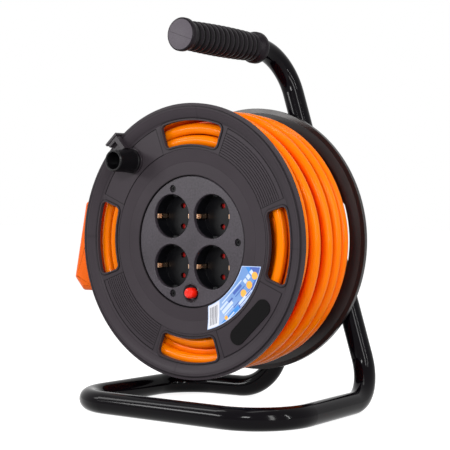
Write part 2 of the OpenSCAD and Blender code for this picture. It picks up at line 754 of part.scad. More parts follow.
module socket_cup(n) color([0.04, 0.04, 0.045]) on_ground() at_socket(n) difference() {
    union() {
        turned([[well_r, seat_y], [cup_r, seat_y], [cup_r, cup_end_y], [0, cup_end_y],
            [0, well_floor_y], [well_r, well_floor_y]]);
        for (s = [-1, 1])
            box([-rib_w / 2, seat_y + 2, s > 0 ? well_r - rib_h : -well_r - 0.5],
                [rib_w / 2, well_floor_y + 1, s > 0 ? well_r + 0.5 : -well_r + rib_h]);
    }
    for (s = [-1, 1]) {
        rod(0, s * pin_spacing / 2, pin_hole_r, well_floor_y - 1, pocket_y + 1);
        box([s > 0 ? clip_x - 1.2 : -clip_x - 1.2, well_floor_y - 1, -clip_w / 2 - 0.6],
            [s > 0 ? clip_x + 1.2 : -clip_x + 1.2, cup_end_y + 1, clip_w / 2 + 0.6]);
    }
    box([-shutter_web - shutter_travel - 0.6, pocket_y, -shutter_len / 2 - 0.4],
        [shutter_web + shutter_travel + 0.6, cup_end_y + 1, shutter_len / 2 + 0.4]);
}

module shutter(n) color([0.75, 0.08, 0.05]) on_ground() at_socket(n) difference() {
    box([-shutter_web - shutter_travel, pocket_y + 0.25, -shutter_len / 2],
        [shutter_web, cup_end_y - 0.25, shutter_len / 2]);
    for (s = [-1, 1])
        rod(-shutter_travel, s * pin_spacing / 2, shutter_hole_r, pocket_y - 1, cup_end_y + 1);
}

module contact_carrier() color([0.1, 0.1, 0.11]) on_ground() difference() {
    union() {
        rod(0, 0, carrier_r, carrier_y, carrier_y + carrier_plate);
        ring(carrier_r - 2, carrier_r, carrier_y, carrier_end_y);
        for (z = [0, post_top_z]) rod(0, z, 4, carrier_y, carrier_end_y);
    }
    for (c = socket_centres, s = [-1, 1]) {
        rod(c[0], c[1] + s * pin_spacing / 2, shutter_hole_r, carrier_y - 1,
            carrier_y + carrier_plate + 1);
        box([c[0] + s * clip_x - 1.2, carrier_y - 1, c[1] - clip_w / 2 - 0.6],
            [c[0] + s * clip_x + 1.2, carrier_y + carrier_plate + 1, c[1] + clip_w / 2 + 0.6]);
    }
    for (z = [0, post_top_z]) rod(0, z, carrier_screw_r + fit_gap, carrier_y - 1, carrier_end_y + 1);
    box([-cutout_w / 2 - 0.6, carrier_y - 1, -carrier_r - 1],
        [cutout_w / 2 + 0.6, carrier_end_y + 1, -button_drop + cutout_h / 2 + 0.6]);
}

// Heights of the contact strips: one live and one neutral strip for each row of sockets
live_z = [for (s = [-1, 1]) s * socket_offset + pin_spacing / 2];
neutral_z = [for (s = [-1, 1]) s * socket_offset - pin_spacing / 2];

module carrier_cover() color([0.12, 0.12, 0.13]) on_ground() difference() {
    union() {
        rod(0, 0, carrier_r, carrier_end_y, cover_end_y);
        for (z = concat(live_z, neutral_z))
            box([-26, strip_y + strip_t + 0.2, z - 1], [26, carrier_end_y + 0.5, z + 1]);
    }
    for (z = [0, post_top_z]) rod(0, z, carrier_screw_r + fit_gap, strip_y, cover_end_y + 1);
}

module carrier_screws() color([0.6, 0.61, 0.62]) on_ground() for (z = [0, post_top_z]) {
    rod(0, z, carrier_screw_r, cup_end_y - 11, cover_end_y + 0.5);
    rod(0, z, 3, cover_end_y, cover_end_y + 2);
}

// A strip with a pair of spring leaves behind each pin hole
module contact_strip(z) {
    box([-27, strip_y, z - contact_h / 2], [27, strip_y + strip_t, z + contact_h / 2]);
    for (x = [-socket_offset, socket_offset], s = [-1, 1])
        box([x + s * (contact_half + strip_t / 2) - strip_t / 2, carrier_y + carrier_plate + 0.4,
                z - contact_h / 2],
            [x + s * (contact_half + strip_t / 2) + strip_t / 2, strip_y + eps, z + contact_h / 2]);
}

module live_contacts() color([0.78, 0.6, 0.28]) on_ground() for (z = live_z) contact_strip(z);
module neutral_contacts() color([0.78, 0.6, 0.28]) on_ground() for (z = neutral_z) contact_strip(z);

// An earth finger: up the side of a well, with its nose pressed into the well
finger_nose = 1.9;
module earth_finger(x, z, s) {
    tip_y = panel_set + 2.6;
    nose_y = panel_set + 6.2;
    root_y = panel_set + 10.4;
    inner = clip_x - clip_t / 2;
    outer = clip_x + clip_t / 2;
    outline = [[inner, earth_y + strip_t], [outer, earth_y + strip_t], [outer, root_y],
        [outer - finger_nose, nose_y], [outer - 0.2, tip_y], [inner - 0.2, tip_y],
        [inner - finger_nose, nose_y], [inner, root_y]];
    translate([x, 0, z - clip_w / 2]) linear_extrude(clip_w) polygon([for (p = outline) [s * p[0], p[1]]]);
}

module earth_contacts() color([0.75, 0.72, 0.66]) on_ground() for (row = [-1, 1]) {
    z = row * socket_offset;
    reach = socket_offset + clip_x + clip_t / 2;
    box([-reach, earth_y, z - clip_w / 2], [reach, earth_y + strip_t, z + clip_w / 2]);
    for (x = [-socket_offset, socket_offset], s = [-1, 1]) earth_finger(x, z, s);
}

module thermal_cutout() color([0.08, 0.08, 0.09]) on_ground() difference() {
    box([-cutout_w / 2, cutout_y, -button_drop - cutout_h / 2],
        [cutout_w / 2, cutout_y + cutout_len, -button_drop + cutout_h / 2]);
    rod(0, -button_drop, stem_r + run_gap, cutout_y - 1, cutout_y + 10);
}

module reset_bezel() color([0.03, 0.03, 0.03]) on_ground() turned_at(0, -button_drop, [
    [bezel_r - 0.7, panel_set], [bezel_r, panel_set + 0.4], [bezel_r, seat_y - 0.7],
    [bezel_tail_r, seat_y - 0.1], [bezel_tail_r, cutout_y - fit_gap],
    [button_r + 0.4, cutout_y - fit_gap], [button_r + 0.4, cutout_y - 1.8],
    [bezel_r - 1.9, cutout_y - 2.6]]);

module reset_button() color([0.85, 0.06, 0.05]) on_ground() turned_at(0, -button_drop, [
    [0, panel_set - button_proud], [button_r * 0.45, panel_set - button_proud + 0.25],
    [button_r * 0.78, panel_set - button_proud + 1], [button_r * 0.95, panel_set - button_proud + 2.2],
    [button_r, panel_set - button_proud + 3.6], [button_r, cutout_y - button_travel - play],
    [stem_r, cutout_y - button_travel - play], [stem_r, cutout_y + 6], [0, cutout_y + 6]]);

terminal_z = 22;
module terminal_block() color([0.9, 0.9, 0.86]) on_ground() difference() {
    box([-17, cover_end_y, terminal_z - 5], [17, cover_end_y + 9, terminal_z + 5]);
    for (x = [-10, 0, 10])
        translate([x, cover_end_y + 5, terminal_z - 1]) cylinder(r = 1.9, h = 12);
}

// The cable's inner end comes through the barrel's wall and splits into three wires
cable_inner_y = 74;
inner_end_z = 48;
wire_r = 1.5;
wire_points = [for (k = [-1:1]) [
    [2.6 * k, cable_inner_y - abs(k), inner_end_z],
    [2.6 * k, cable_inner_y - abs(k), inner_end_z - 3],
    [5 * k, cable_inner_y - 4, inner_end_z - 8],
    [8 * k, cable_inner_y - 10, inner_end_z - 14],
    [10 * k, cover_end_y + 8, inner_end_z - 15.5],
    [10 * k, cover_end_y + 5.2, terminal_z + 9],
    [10 * k, cover_end_y + 5, terminal_z + 5],
    [10 * k, cover_end_y + 5, terminal_z]]];
module inner_wires() on_ground()
    for (k = [0:2]) color([[0.35, 0.2, 0.1], [0.2, 0.5, 0.2], [0.1, 0.2, 0.6]][k])
        swept(wire_points[k], [1, 0, 0], wire_r, 8);

gland_r = 9;
gland_len = 13;
gland_top = sqrt(barrel_in * barrel_in - gland_r * gland_r) - fit_gap;
module cable_gland() color([0.1, 0.1, 0.11]) on_ground()
    translate([0, cable_inner_y, gland_top - gland_len]) difference() {
        cylinder(r = gland_r, h = gland_len);
        translate([0, 0, -1]) cylinder(r = cable_r + fit_gap, h = gland_len + 2);
    }

module cable_inner_end() color([0.95, 0.4, 0.03]) on_ground()
    translate([0, cable_inner_y, inner_end_z]) cylinder(r = cable_r, h = core_in - inner_end_z - 0.6);

// ---------------------------------------------------------------- cable

// The outer layer, smooth through its knots
function knot_slope(k) = let (before = layer_knots[max(k - 1, 0)],
    after = layer_knots[min(k + 1, last_knot)]) (after - before) / (after[0] - before[0]);
function layer(n) =
    let (k = max([for (i = [0:last_knot - 1]) if (i == 0 || layer_knots[i][0] <= n) i]),
        from = layer_knots[k], to = layer_knots[k + 1], span = to[0] - from[0],
        t = (n - from[0]) / span)
    (2 * pow(t, 3) - 3 * t * t + 1) * from + (pow(t, 3) - 2 * t * t + t) * span * knot_slope(k) +
    (3 * t * t - 2 * pow(t, 3)) * to + (pow(t, 3) - t * t) * span * knot_slope(k + 1);
function layer_r(drop) = turn_r_front - drop * cable_d;
function layer_y(share) = turn_y_front + share * (drum_w - 2 * turn_y_front);
function turn_angle(n) = tail_angle - 360 * (outer_turns - n);
function turn_point(n) = let (p = layer(n), q = polar(layer_r(p[1]), turn_angle(n)))
    [q[0], layer_y(p[2]), q[1]];
function turn_heading(n) = [-sin(turn_angle(n)), 0, cos(turn_angle(n))];
winding_points = concat(
    [turn_point(0) - end_run * turn_heading(0)],
    [for (i = [0:outer_turns * rings_per_turn]) turn_point(i / rings_per_turn)],
    [tail_start]);
turns_apart = rings_per_turn / 2;
winding_clearance = min([for (i = [0:len(winding_points) - 1])
    for (j = [i + turns_apart:1:min(i + 2 * rings_per_turn, len(winding_points) - 1)])
        norm(winding_points[i] - winding_points[j])]) - cable_d;
echo(least_gap_between_turns = winding_clearance);

// The inner layers as one plain core under the outer one: [drop, share] of its top
core_knots = [[1.34, 0.09], [0.64, 0.25], [0.64, 0.77], [0.85, 0.85], [1.25, 0.91], [2.1, 0.935]];
module cable_core() color([0.9, 0.36, 0.03]) on_ground()
    turned(concat([[core_in, core_side_front], [layer_r(core_knots[0][0]), core_side_front]],
        [for (k = core_knots) [layer_r(k[0]), layer_y(k[1])]],
        [[layer_r(core_knots[len(core_knots) - 1][0]), core_side_rear],
            [core_in, core_side_rear]]));

module cable_winding() color([0.97, 0.45, 0.03]) on_ground()
    swept(winding_points, [cos(turn_angle(0)), 0, sin(turn_angle(0))], cable_r, cable_sides);

module cable_tail() color([0.97, 0.45, 0.03]) on_ground()
    swept(tail_points, [0, 1, 0], cable_r, tail_sides);

// ---------------------------------------------------------------- plug

module plug_slab(margin, y0, y1) {
    middle = plug_centre;
    scale_in = 1 - margin / plug_face_r;
    translate([middle[0], y1, middle[1]]) rotate([90, 0, 0]) linear_extrude(y1 - y0)
        polygon([for (p = plug_outline) (p - middle) * scale_in]);
}

module plug_body() color([0.95, 0.42, 0.05]) on_ground() difference() {
    union() {
        hull() {
            plug_slab(plug_bevel, plug_back_y, plug_back_y + 1);
            plug_slab(0, plug_back_y + plug_bevel, plug_back_y + plug_body_t);
        }
        rod(plug_centre[0], plug_centre[1], plug_face_r, plug_back_y + plug_body_t - 1,
            plug_front_y);
        frame_at([0, 1, 0], cross(relief_heading, [0, 1, 0]), relief_heading, relief_top)
            cylinder(r1 = cable_r + 1.2, r2 = cable_r + 3, h = relief_len);
    }
    for (s = [-1, 1])
        rod(plug_centre[0] + s * pin_spacing / 2, plug_centre[1], plug_pin_root_r + fit_gap,
            plug_front_y - plug_pin_root_len - 0.2, plug_front_y + 1);
    for (s = [-1, 1])
        translate([plug_centre[0], 0, plug_centre[1] + s * plug_face_r])
            box([-3.2, plug_back_y + plug_body_t + 2, -1.6],
                [3.2, plug_front_y + 1, 1.6]);
}

module plug_pins() color([0.75, 0.76, 0.78]) on_ground() for (s = [-1, 1]) {
    tip_y = plug_front_y + plug_pin_len;
    turned_at(plug_centre[0] + s * pin_spacing / 2, plug_centre[1], [
        [0, plug_front_y - plug_pin_root_len], [plug_pin_root_r, plug_front_y - plug_pin_root_len],
        [plug_pin_root_r, plug_front_y + fit_gap], [plug_pin_r, plug_front_y + fit_gap],
        [plug_pin_r, tip_y - plug_pin_taper], [plug_pin_r - 1, tip_y], [0, tip_y]]);
}

module plug_earth_strips() color([0.75, 0.76, 0.78]) on_ground() for (s = [-1, 1])
    translate([plug_centre[0], 0, plug_centre[1] + s * (plug_face_r - 1)])
        box([-2.6, plug_back_y + plug_body_t + 2.2, -0.5],
            [2.6, plug_front_y - 0.5, 0.5]);

// ---------------------------------------------------------------- crank knob

knob_block_front = -6;
knob_block_w = 13.2;
hook_t = 2;
hook_w = 16.4;
hook_inner_r = flange_r + play;
hook_front_y = knob_block_front - 0.8;
hook_back_y = rim_t + play;
knob_foot_r = knob_base_d / 2 + 0.6;
knob_arm = concat(
    [[knob_r + 5, knob_plate_y + 0.2], [knob_r + 5, knob_plate_y + knob_plate_t - 0.2],
        [camber_in - 0.3, knob_plate_y + knob_plate_t - 0.2]],
    [for (k = [0:camber_steps]) camber(k) - [0, play]],
    [[hook_inner_r + hook_t / 2, -play], [hook_inner_r + hook_t / 2, knob_block_front],
        [knob_r + knob_foot_r - 1.5, knob_block_front], [knob_r + knob_foot_r - 1.5, knob_plate_y + 0.2]]);
knob_hook = [[hook_inner_r, hook_front_y], [hook_inner_r + hook_t, hook_front_y],
    [hook_inner_r + hook_t, hook_back_y + hook_t], [lip_r - 0.4, hook_back_y + hook_t],
    [lip_r - 0.4, hook_back_y], [hook_inner_r, hook_back_y]];

module knob_bracket() color([0.05, 0.05, 0.05]) on_ground() difference() {
    union() {
        rod(knob_x, knob_z, knob_foot_r, knob_plate_y, knob_plate_y + knob_plate_t);
        rotate([0, -knob_angle, 0]) {
            translate([0, 0, -knob_block_w / 2]) linear_extrude(knob_block_w) polygon(knob_arm);
            translate([0, 0, -hook_w / 2]) linear_extrude(hook_w) polygon(knob_hook);
        }
    }
    rod(knob_x, knob_z, rivet_r + fit_gap, knob_plate_y - 8, web_face + 1);
    rod(knob_x, knob_z, knob_foot_r + 0.2, knob_plate_y - 30, knob_plate_y + 0.1);
    rotate([0, -knob_angle, 0])
        box([knob_r + knob_foot_r - 4, knob_block_front - 1, -2.2], [flange_r - 3, -play - 2, hook_w]);
}

module knob_rivet() color([0.6, 0.61, 0.62]) on_ground() turned_at(knob_x, knob_z, [
    [0, knob_base_y - knob_web_t - play - 2.2], [4, knob_base_y - knob_web_t - play - 2.2],
    [6.2, knob_base_y - knob_web_t - play - 0.8], [6.2, knob_base_y - knob_web_t - play],
    [rivet_r, knob_base_y - knob_web_t - play], [rivet_r, web_face + fit_gap],
    [5, web_face + fit_gap], [5, web_face + 1.2], [0, web_face + 1.2]]);

module crank_knob() color([0.03, 0.03, 0.03]) on_ground() {
    tip_y = knob_base_y - knob_len;
    base_r = knob_base_d / 2;
    tip_r = knob_tip_d / 2;
    turned_at(knob_x, knob_z, [
        [rivet_r + run_gap, knob_base_y], [base_r - 0.6, knob_base_y], [base_r, knob_base_y - 0.6],
        [base_r, knob_base_y - 2], [base_r - 0.5, knob_base_y - 2.8], [tip_r, tip_y + 1.2],
        [tip_r - 0.3, tip_y + 0.4], [tip_r - 0.9, tip_y], [knob_bore_d / 2 + 0.4, tip_y],
        [knob_bore_d / 2, tip_y + 0.5], [knob_bore_d / 2, knob_base_y - knob_web_t],
        [rivet_r + run_gap, knob_base_y - knob_web_t]]);
}

// ---------------------------------------------------------------- label and badge

label_in = seat_r + 0.9;
label_out = 81.3;
label_edge = 20.4;
label_t = 0.3;
label_lift = 0.05;
function inner_ring_y(r) = r < cone_in ? hub_set :
    hub_set + (web_set - hub_set) * (r - cone_in) / (cone_out - cone_in);
module label() color([0.4, 0.62, 0.88]) on_ground() intersection() {
    turned([[label_in, hub_set - label_lift], [label_in, hub_set - label_lift - label_t],
        [cone_in, hub_set - label_lift - label_t],
        [label_out, inner_ring_y(label_out) - label_lift - label_t],
        [label_out, inner_ring_y(label_out) - label_lift], [cone_in, hub_set - label_lift]]);
    box([label_edge, 0, -flange_r], [flange_r, 2 * hub_set, -label_edge]);
}

badge_r = 96.8;
badge_angle = -45.9;
badge_len = 53;
badge_w = 15.4;
badge_t = 0.7;
module badge_plate() color([0.02, 0.02, 0.02]) on_ground() rotate([0, -badge_angle, 0])
    translate([badge_r, 0, 0]) {
        y1 = web_set - label_lift;
        reach = badge_len / 2 - badge_w / 2;
        for (s = [-1, 1]) rod(0, s * reach, badge_w / 2, y1 - badge_t, y1);
        box([-badge_w / 2, y1 - badge_t, -reach], [badge_w / 2, y1, reach]);
    }

// ---------------------------------------------------------------- nodes

frame_tube();
handle_grip();
leg_end_cap();
axle_bracket();
axle();
axle_nut();
bracket_bolt();
retaining_ring();
retaining_washer();
thrust_washer();
front_flange();
rear_flange();
drum_barrel();
tie_screws();
hub_bush_inner();
hub_bush_outer();
socket_panel();
panel_screws();
socket_cup(1);  // socket_cup_1
socket_cup(2);  // socket_cup_2
socket_cup(3);  // socket_cup_3
socket_cup(4);  // socket_cup_4
shutter(1);  // shutter_1
shutter(2);  // shutter_2
shutter(3);  // shutter_3
shutter(4);  // shutter_4
contact_carrier();
carrier_cover();
carrier_screws();
live_contacts();
neutral_contacts();
earth_contacts();
thermal_cutout();
reset_bezel();
reset_button();
terminal_block();
inner_wires();
cable_gland();
cable_inner_end();
cable_core();
cable_winding();
knob_bracket();
knob_rivet();
crank_knob();
label();
badge_plate();
cable_tail();
plug_body();
plug_pins();
plug_earth_strips();
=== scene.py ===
"""Extension cord reel: the finished look of a cable drum with four sockets on a bent tube stand."""

import json
import math

import bpy
from bpy.props import FloatProperty, FloatVectorProperty, IntProperty, PointerProperty
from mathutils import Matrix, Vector


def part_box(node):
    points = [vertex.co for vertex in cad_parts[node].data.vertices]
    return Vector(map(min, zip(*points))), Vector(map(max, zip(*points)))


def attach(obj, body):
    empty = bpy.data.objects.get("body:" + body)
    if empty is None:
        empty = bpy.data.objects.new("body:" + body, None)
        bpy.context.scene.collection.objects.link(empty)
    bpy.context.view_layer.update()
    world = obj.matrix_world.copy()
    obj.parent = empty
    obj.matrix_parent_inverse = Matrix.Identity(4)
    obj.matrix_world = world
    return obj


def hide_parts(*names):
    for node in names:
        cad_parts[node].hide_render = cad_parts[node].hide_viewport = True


bl_info = {
    "name": "Extension Cord Reel",
    "version": (1, 0, 0),
    "blender": (4, 5, 0),
    "location": "3D View > Sidebar > Cord Reel",
    "description": "Builds the cable, plug, grip and finishes of a cord reel round its solid parts",
    "category": "Add Mesh",
}

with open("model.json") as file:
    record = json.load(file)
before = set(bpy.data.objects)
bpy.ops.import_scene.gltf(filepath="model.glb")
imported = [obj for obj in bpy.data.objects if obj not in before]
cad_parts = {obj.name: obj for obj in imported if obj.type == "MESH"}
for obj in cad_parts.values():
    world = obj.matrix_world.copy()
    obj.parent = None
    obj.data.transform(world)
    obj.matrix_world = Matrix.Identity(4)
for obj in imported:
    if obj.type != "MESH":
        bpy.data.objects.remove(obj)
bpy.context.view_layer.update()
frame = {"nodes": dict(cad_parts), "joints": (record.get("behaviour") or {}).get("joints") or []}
NODES = frame["nodes"]

MM = 0.001


def drum_axis():
    """The drum's axis where it meets the plane of the front rim."""
    spin = next(j for j in frame["joints"] if j["name"] == "drum_spin")["pos_m"]
    return Vector((spin[0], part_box("front_flange")[0].y, spin[2]))


AXIS = drum_axis()


def at(x, y, z):
    """A place in the drum's millimetres: right, back and up from the axis in the rim's plane."""
    return AXIS + Vector((x, y, z)) * MM


def around(radius, angle, y):
    """A place at a radius and angle round the drum's axis, the angle from +X towards +Z."""
    return at(radius * math.cos(angle), y, radius * math.sin(angle))


def screen(red, green, blue):
    """A colour as a screen shows it, 0 to 255, in Blender's linear numbers."""
    def linear(c):
        c /= 255
        return c / 12.92 if c <= 0.04045 else ((c + 0.055) / 1.055) ** 2.4
    return linear(red), linear(green), linear(blue)


# ---------------------------------------------------------------- sizes, in drum millimetres

CABLE_D = 10.0
TAIL_ANGLE = math.radians(118)
TAIL_HEADING = Vector((-math.sin(TAIL_ANGLE), 0, math.cos(TAIL_ANGLE)))
OUTER_TURNS = 6
WINDING_FRONT_Y = 12.3
WINDING_FRONT_R = 115.0

# The front flange's windows: radii, corner radius, and half angle, pitch and turn in degrees
WINDOW_IN = 88.0
WINDOW_OUT = 109.6
WINDOW_CORNER = 4.5
WINDOW_HALF = 18.6
WINDOW_PITCH = 90
WINDOW_TURN = 1.1

# The raised sectors between them: first degree, radii, and the grooves in two of the four
SECTOR_EDGE = 22.0
SECTOR_IN = 84.2
GROOVES_IN = 86.0
GROOVES_OUT = 107.0
GROOVE_FIRST = 86.7
GROOVE_PITCH = 2.3

# The flange's circles: radius, half width and darkness of the line of painted shade along
# each, and the depth behind the rim's plane at which all lines end
FLANGE_SHADE_CIRCLES = [
    (60.2, 0.7, 1.0), (121.9, 0.8, 1.0), (72.2, 0.4, 0.3), (112.4, 0.4, 0.5), (119.6, 0.4, 0.4)]
FLANGE_FACE_Y = 9.0

# Moulding marks across the flange's rim: its radii, and place and half width in degrees
RIM_IN = 109.8
RIM_OUT = 122.2
RIM_MARKS = [(85, 0.5), (-2, 0.5), (178.5, 1.2), (-97, 0.5)]

# The outer layer: turns counted from the rear, radius and depth of the cable's middle
OUTER_LAYER = [
    (-0.08, 97.0, 95.1), (0.0, 99.6, 95.3), (0.3, 102.0, 95.3), (0.67, 105.8, 93.8),
    (1.0, 109.2, 89.6), (1.35, 112.0, 85.6), (1.67, 113.5, 82.4), (2.17, 114.3, 76.5),
    (2.67, 114.8, 69.5), (3.17, 115.0, 62.0), (3.67, 115.0, 54.3), (4.17, 115.0, 43.0),
    (4.67, 116.2, 32.2), (4.92, 113.8, 24.3), (5.0, 111.0, 22.8), (5.17, 108.2, 15.6),
    (5.42, 107.3, 12.9), (5.54, 111.0, 13.3), (5.67, 115.3, 14.8), (5.92, 115.2, 12.9),
    (6.0, 115.0, 12.3)]

# The layer under it and the side that the windows show: turns counted from the top
INNER_LAYER = [
    (-7.0, 95.5, 94.6), (-6.2, 98.5, 87.0), (-5.4, 103.0, 79.0), (-1.25, 104.3, 36.5),
    (-0.5, 104.2, 28.5), (-0.25, 103.6, 24.0), (0.0, 102.3, 14.5), (0.25, 103.0, 20.0),
    (0.5, 100.3, 20.0), (0.75, 95.5, 13.6), (1.0, 91.8, 13.6), (1.25, 94.6, 13.2),
    (1.5, 91.7, 13.0), (1.75, 85.5, 14.5), (2.0, 81.5, 14.0), (2.25, 84.0, 22.0),
    (2.5, 81.5, 15.0), (2.75, 76.0, 14.0), (3.0, 75.6, 16.0)]

REAR_LAYER = [(0.0, 85.5, 94.8), (1.0, 85.2, 94.9), (1.4, 76.0, 94.6), (2.5, 75.6, 94.6)]

# The bulk inside: radius and depth
BULK_PROFILE = [(70.4, 28), (96.0, 28), (98.6, 36), (98.6, 80), (92.0, 88), (89.0, 90.5),
                (70.4, 90.5)]

# The crowns of the outer turns: radii between which they begin, and depths behind the rim's
# plane between which the sheath's full colour beside the front flange ends; below the crowns
# and deeper than these depths the sheath takes a painted shade
CROWN_R = (114.5, 119.2)
CROWN_Y = ((17, 25), (13.5, 18.5))

# The tail's route: straight off the winding, through these places and into the plug's relief,
# with its last steps counted along the relief from its top
RELIEF_TOP = (-126.0, 31.0, 52.0)
RELIEF_ANGLE = math.radians(250)
RELIEF_HEADING = Vector((math.cos(RELIEF_ANGLE), 0, math.sin(RELIEF_ANGLE)))
RELIEF_RINGS = 5
TAIL_ROUTE = [
    (-85.0, 13.4, 85.0), (-94.0, 15.6, 80.6), (-102.0, 19.0, 76.2), (-110.0, 24.0, 71.2),
    (-116.0, 28.0, 66.4), (-120.6, 30.4, 61.8)]
TAIL_STRAIGHT = 12
TAIL_LAST_STEPS = (-5, 0, 4)

# The plug seen from the front, from its top left corner round by the bottom
PLUG_OUTLINE = [
    (-142.0, 36.0), (-157.0, -38.0), (-146.0, -50.5), (-128.0, -50.5), (-119.6, -38.0),
    (-122.0, 0.0), (-122.4, 36.0)]
PLUG_CORNER = 4.0
PLUG_CENTRE = (-138.2, -30.0)
PLUG_FRONT_Y = 20.0
PLUG_BODY_Y = 42.0
PLUG_FACE_Y = 56.0
PLUG_FACE_R = 18.7
PLUG_FACE_SIDES = 72
PLUG_SLOT_R = 16.6
PLUG_SLOT_HALF = math.radians(11)

# The grip on the tube's front end
GRIP_START = (21.8, -33.0, 181.7)
GRIP_TOWARDS = (21.8, 122.0, 178.6)
GRIP_LENGTH = 117.0
GRIP_END_R = 14.75
GRIP_RIB_R = 14.2
GRIP_RIBS = 13
GRIP_RIBS_START = 13.0
GRIP_RIBS_END = GRIP_LENGTH - 11.0
GRIP_AHEAD = 4.1
GRIP_DISC_R = 13.3

# The label: radii, straight cuts below and right of the axis, and its pale border
LABEL_IN = 61.0
LABEL_OUT = 81.3
LABEL_CUT = 20.4
LABEL_BORDER = 0.6

# Its print, along the diagonal and out from the axis: squares and discs with their half size,
# bars as middle along, half length, middle out, half height
LABEL_SQUARES = [(24.7, 66.6, 1.9), (19.6, 67.0, 1.8), (30.0, 66.2, 1.8)]
LABEL_DISCS = [(10.7, 73.6, 3.4), (20.6, 72.6, 3.4), (30.6, 70.9, 3.4), (-18.3, 76.4, 1.9)]
LABEL_PALE_BARS = [
    (10.0, 9.5, 77.2, 1.2), (9.0, 8.5, 79.6, 0.5), (-14.0, 6.0, 78.6, 0.6),
    (-11.0, 7.5, 70.4, 1.6), (2.0, 15.0, 63.8, 0.5), (-12.0, 6.5, 73.6, 0.4),
    (-13.0, 5.5, 66.6, 0.9)]
LABEL_DARK_BARS = [
    (8.0, 6.0, 66.4, 1.3), (9.0, 7.0, 69.6, 0.4), (-4.0, 3.0, 68.2, 0.8), (-2.0, 4.0, 75.4, 0.5),
    (20.0, 9.0, 77.0, 0.6)]

# Where its main colour fades in, and the upright strip at its left: the strip's right edge, the
# ruled field's sides and radii, and the pitch of the rules
LABEL_FADE = (-34, 10)
STRIP_EDGE = 33.0
RULES_X = (22.6, 31.2)
RULES_R = (63.6, 78.6)
RULES_PITCH = 1.7

# The camera: place in metres, tilt and turn in degrees, focal length and sensor in millimetres
VIEW_PLACE = (0.76717, -1.03425, 0.1955)
VIEW_TILT = 88.84
VIEW_TURN = 36.42
VIEW_LENS = 111.68
VIEW_SENSOR = 36

# The lights: name of the power's setting, place, width and height in metres
LAMPS = [
    ("key", (-0.9, -0.52, 1.0), 0.2, 0.9),
    ("rim", (-0.66, -0.92, 0.44), 0.4, 0.16),
    ("front", (0.3, -0.9, 0.46), 0.2, 0.15),
    ("fill", (1.15, -0.7, 0.55), 0.16, 1.0),
    ("edge", (1.25, -0.1, 0.5), 0.03, 0.8),
    ("top", (0.1, 0.0, 1.35), 0.9, 0.2)]
FLOOR_HALF = 6.0
FLOOR_GLOW = 0.88


# ---------------------------------------------------------------- settings in the panel


def colour(name, description, shade):
    """A colour setting whose default is a shade as a screen shows it."""
    return FloatVectorProperty(name=name, description=description, default=screen(*shade),
                               subtype="COLOR", size=3, min=0, max=1)


class CableSettings(bpy.types.PropertyGroup):
    sheath: colour("Cable", "Colour of the cable's sheath", (250, 110, 0))
    # Colour painted as shade between and below the outer turns
    painted_shade: colour("Between turns", "Colour deep between the outer turns", (243, 91, 1))
    plug: colour("Plug", "Colour of the plug's moulded body", (226, 90, 6))
    gloss: FloatProperty(name="Roughness", description="Roughness of the sheath", default=0.15,
                         min=0, max=1, subtype="FACTOR")
    diameter: FloatProperty(name="Cable diameter", description="Outside diameter of the cable",
                            default=CABLE_D * MM, min=0.006, max=0.011, unit="LENGTH")
    sides: IntProperty(name="Sides", description="Faces round the cable", default=24, min=8, max=32)
    rings: IntProperty(name="Rings", description="Rings of faces in each turn", default=144, min=48,
                       max=160)


class PlasticSettings(bpy.types.PropertyGroup):
    drum: colour("Drum", "Colour of the front flange", (51, 46, 50))
    rear: colour("Rear", "Colour of the rear flange and barrel", (18, 14, 15))
    panel: colour("Panel", "Colour of the socket panel", (48, 43, 49))
    socket: colour("Sockets", "Colour of the socket cups", (6, 6, 9))
    black: colour("Black", "Colour of the crank knob and small black parts", (11, 10, 12))
    bracket: colour("Bracket", "Colour of the crank knob's bracket", (38, 33, 37))
    red: colour("Red", "Colour of the shutters", (158, 20, 16))
    grain: FloatProperty(name="Grain", description="Size of the moulded grain", default=0.0007,
                         min=0.0001, max=0.005, unit="LENGTH")


class StandSettings(bpy.types.PropertyGroup):
    paint: colour("Paint", "Colour of the tube's powder coat", (5, 3, 6))
    rubber: colour("Grip", "Colour of the grip", (20, 16, 20))
    rib_depth: FloatProperty(name="Rib depth", description="Depth of the grooves between ribs",
                             default=0.0018, min=0.0005, max=0.003, unit="LENGTH")


class LabelSettings(bpy.types.PropertyGroup):
    field: colour("Field", "Main colour of the round label", (100, 136, 188))
    band: colour("Band", "Colour of the label's lower band", (52, 124, 196))
    corner: colour("Corner", "Colour of the label's dark band", (62, 88, 160))
    discs: colour("Discs", "Colour of the label's discs", (222, 160, 66))


def power(name, which, watts):
    """A setting for the power of one light."""
    return FloatProperty(name=name, description=f"Power of the {which}", default=watts, min=0,
                         max=60, unit="POWER")


class StageSettings(bpy.types.PropertyGroup):
    key: power("Key light", "tall light at the upper left", 6.5)
    front: power("Front light", "small light at the front", 4.3)
    rim: power("Rim light", "wide light at the front left", 5.5)
    edge: power("Edge light", "narrow light at the right", 5.0)
    fill: power("Fill light", "tall light at the right", 11.5)
    top: power("Top light", "light overhead", 2.8)
    sky: FloatProperty(name="Surroundings", description="Strength of the even light all round",
                       default=0.33, min=0, max=1, subtype="FACTOR")


class ReelSettings(bpy.types.PropertyGroup):
    cable: PointerProperty(type=CableSettings, name="Cable", description="Cable, tail and plug")
    plastic: PointerProperty(type=PlasticSettings, name="Plastic", description="Moulded parts")
    stand: PointerProperty(type=StandSettings, name="Stand", description="Tube and grip")
    label: PointerProperty(type=LabelSettings, name="Label", description="Round label")
    stage: PointerProperty(type=StageSettings, name="Stage", description="Floor and lights")


# ---------------------------------------------------------------- shader kit


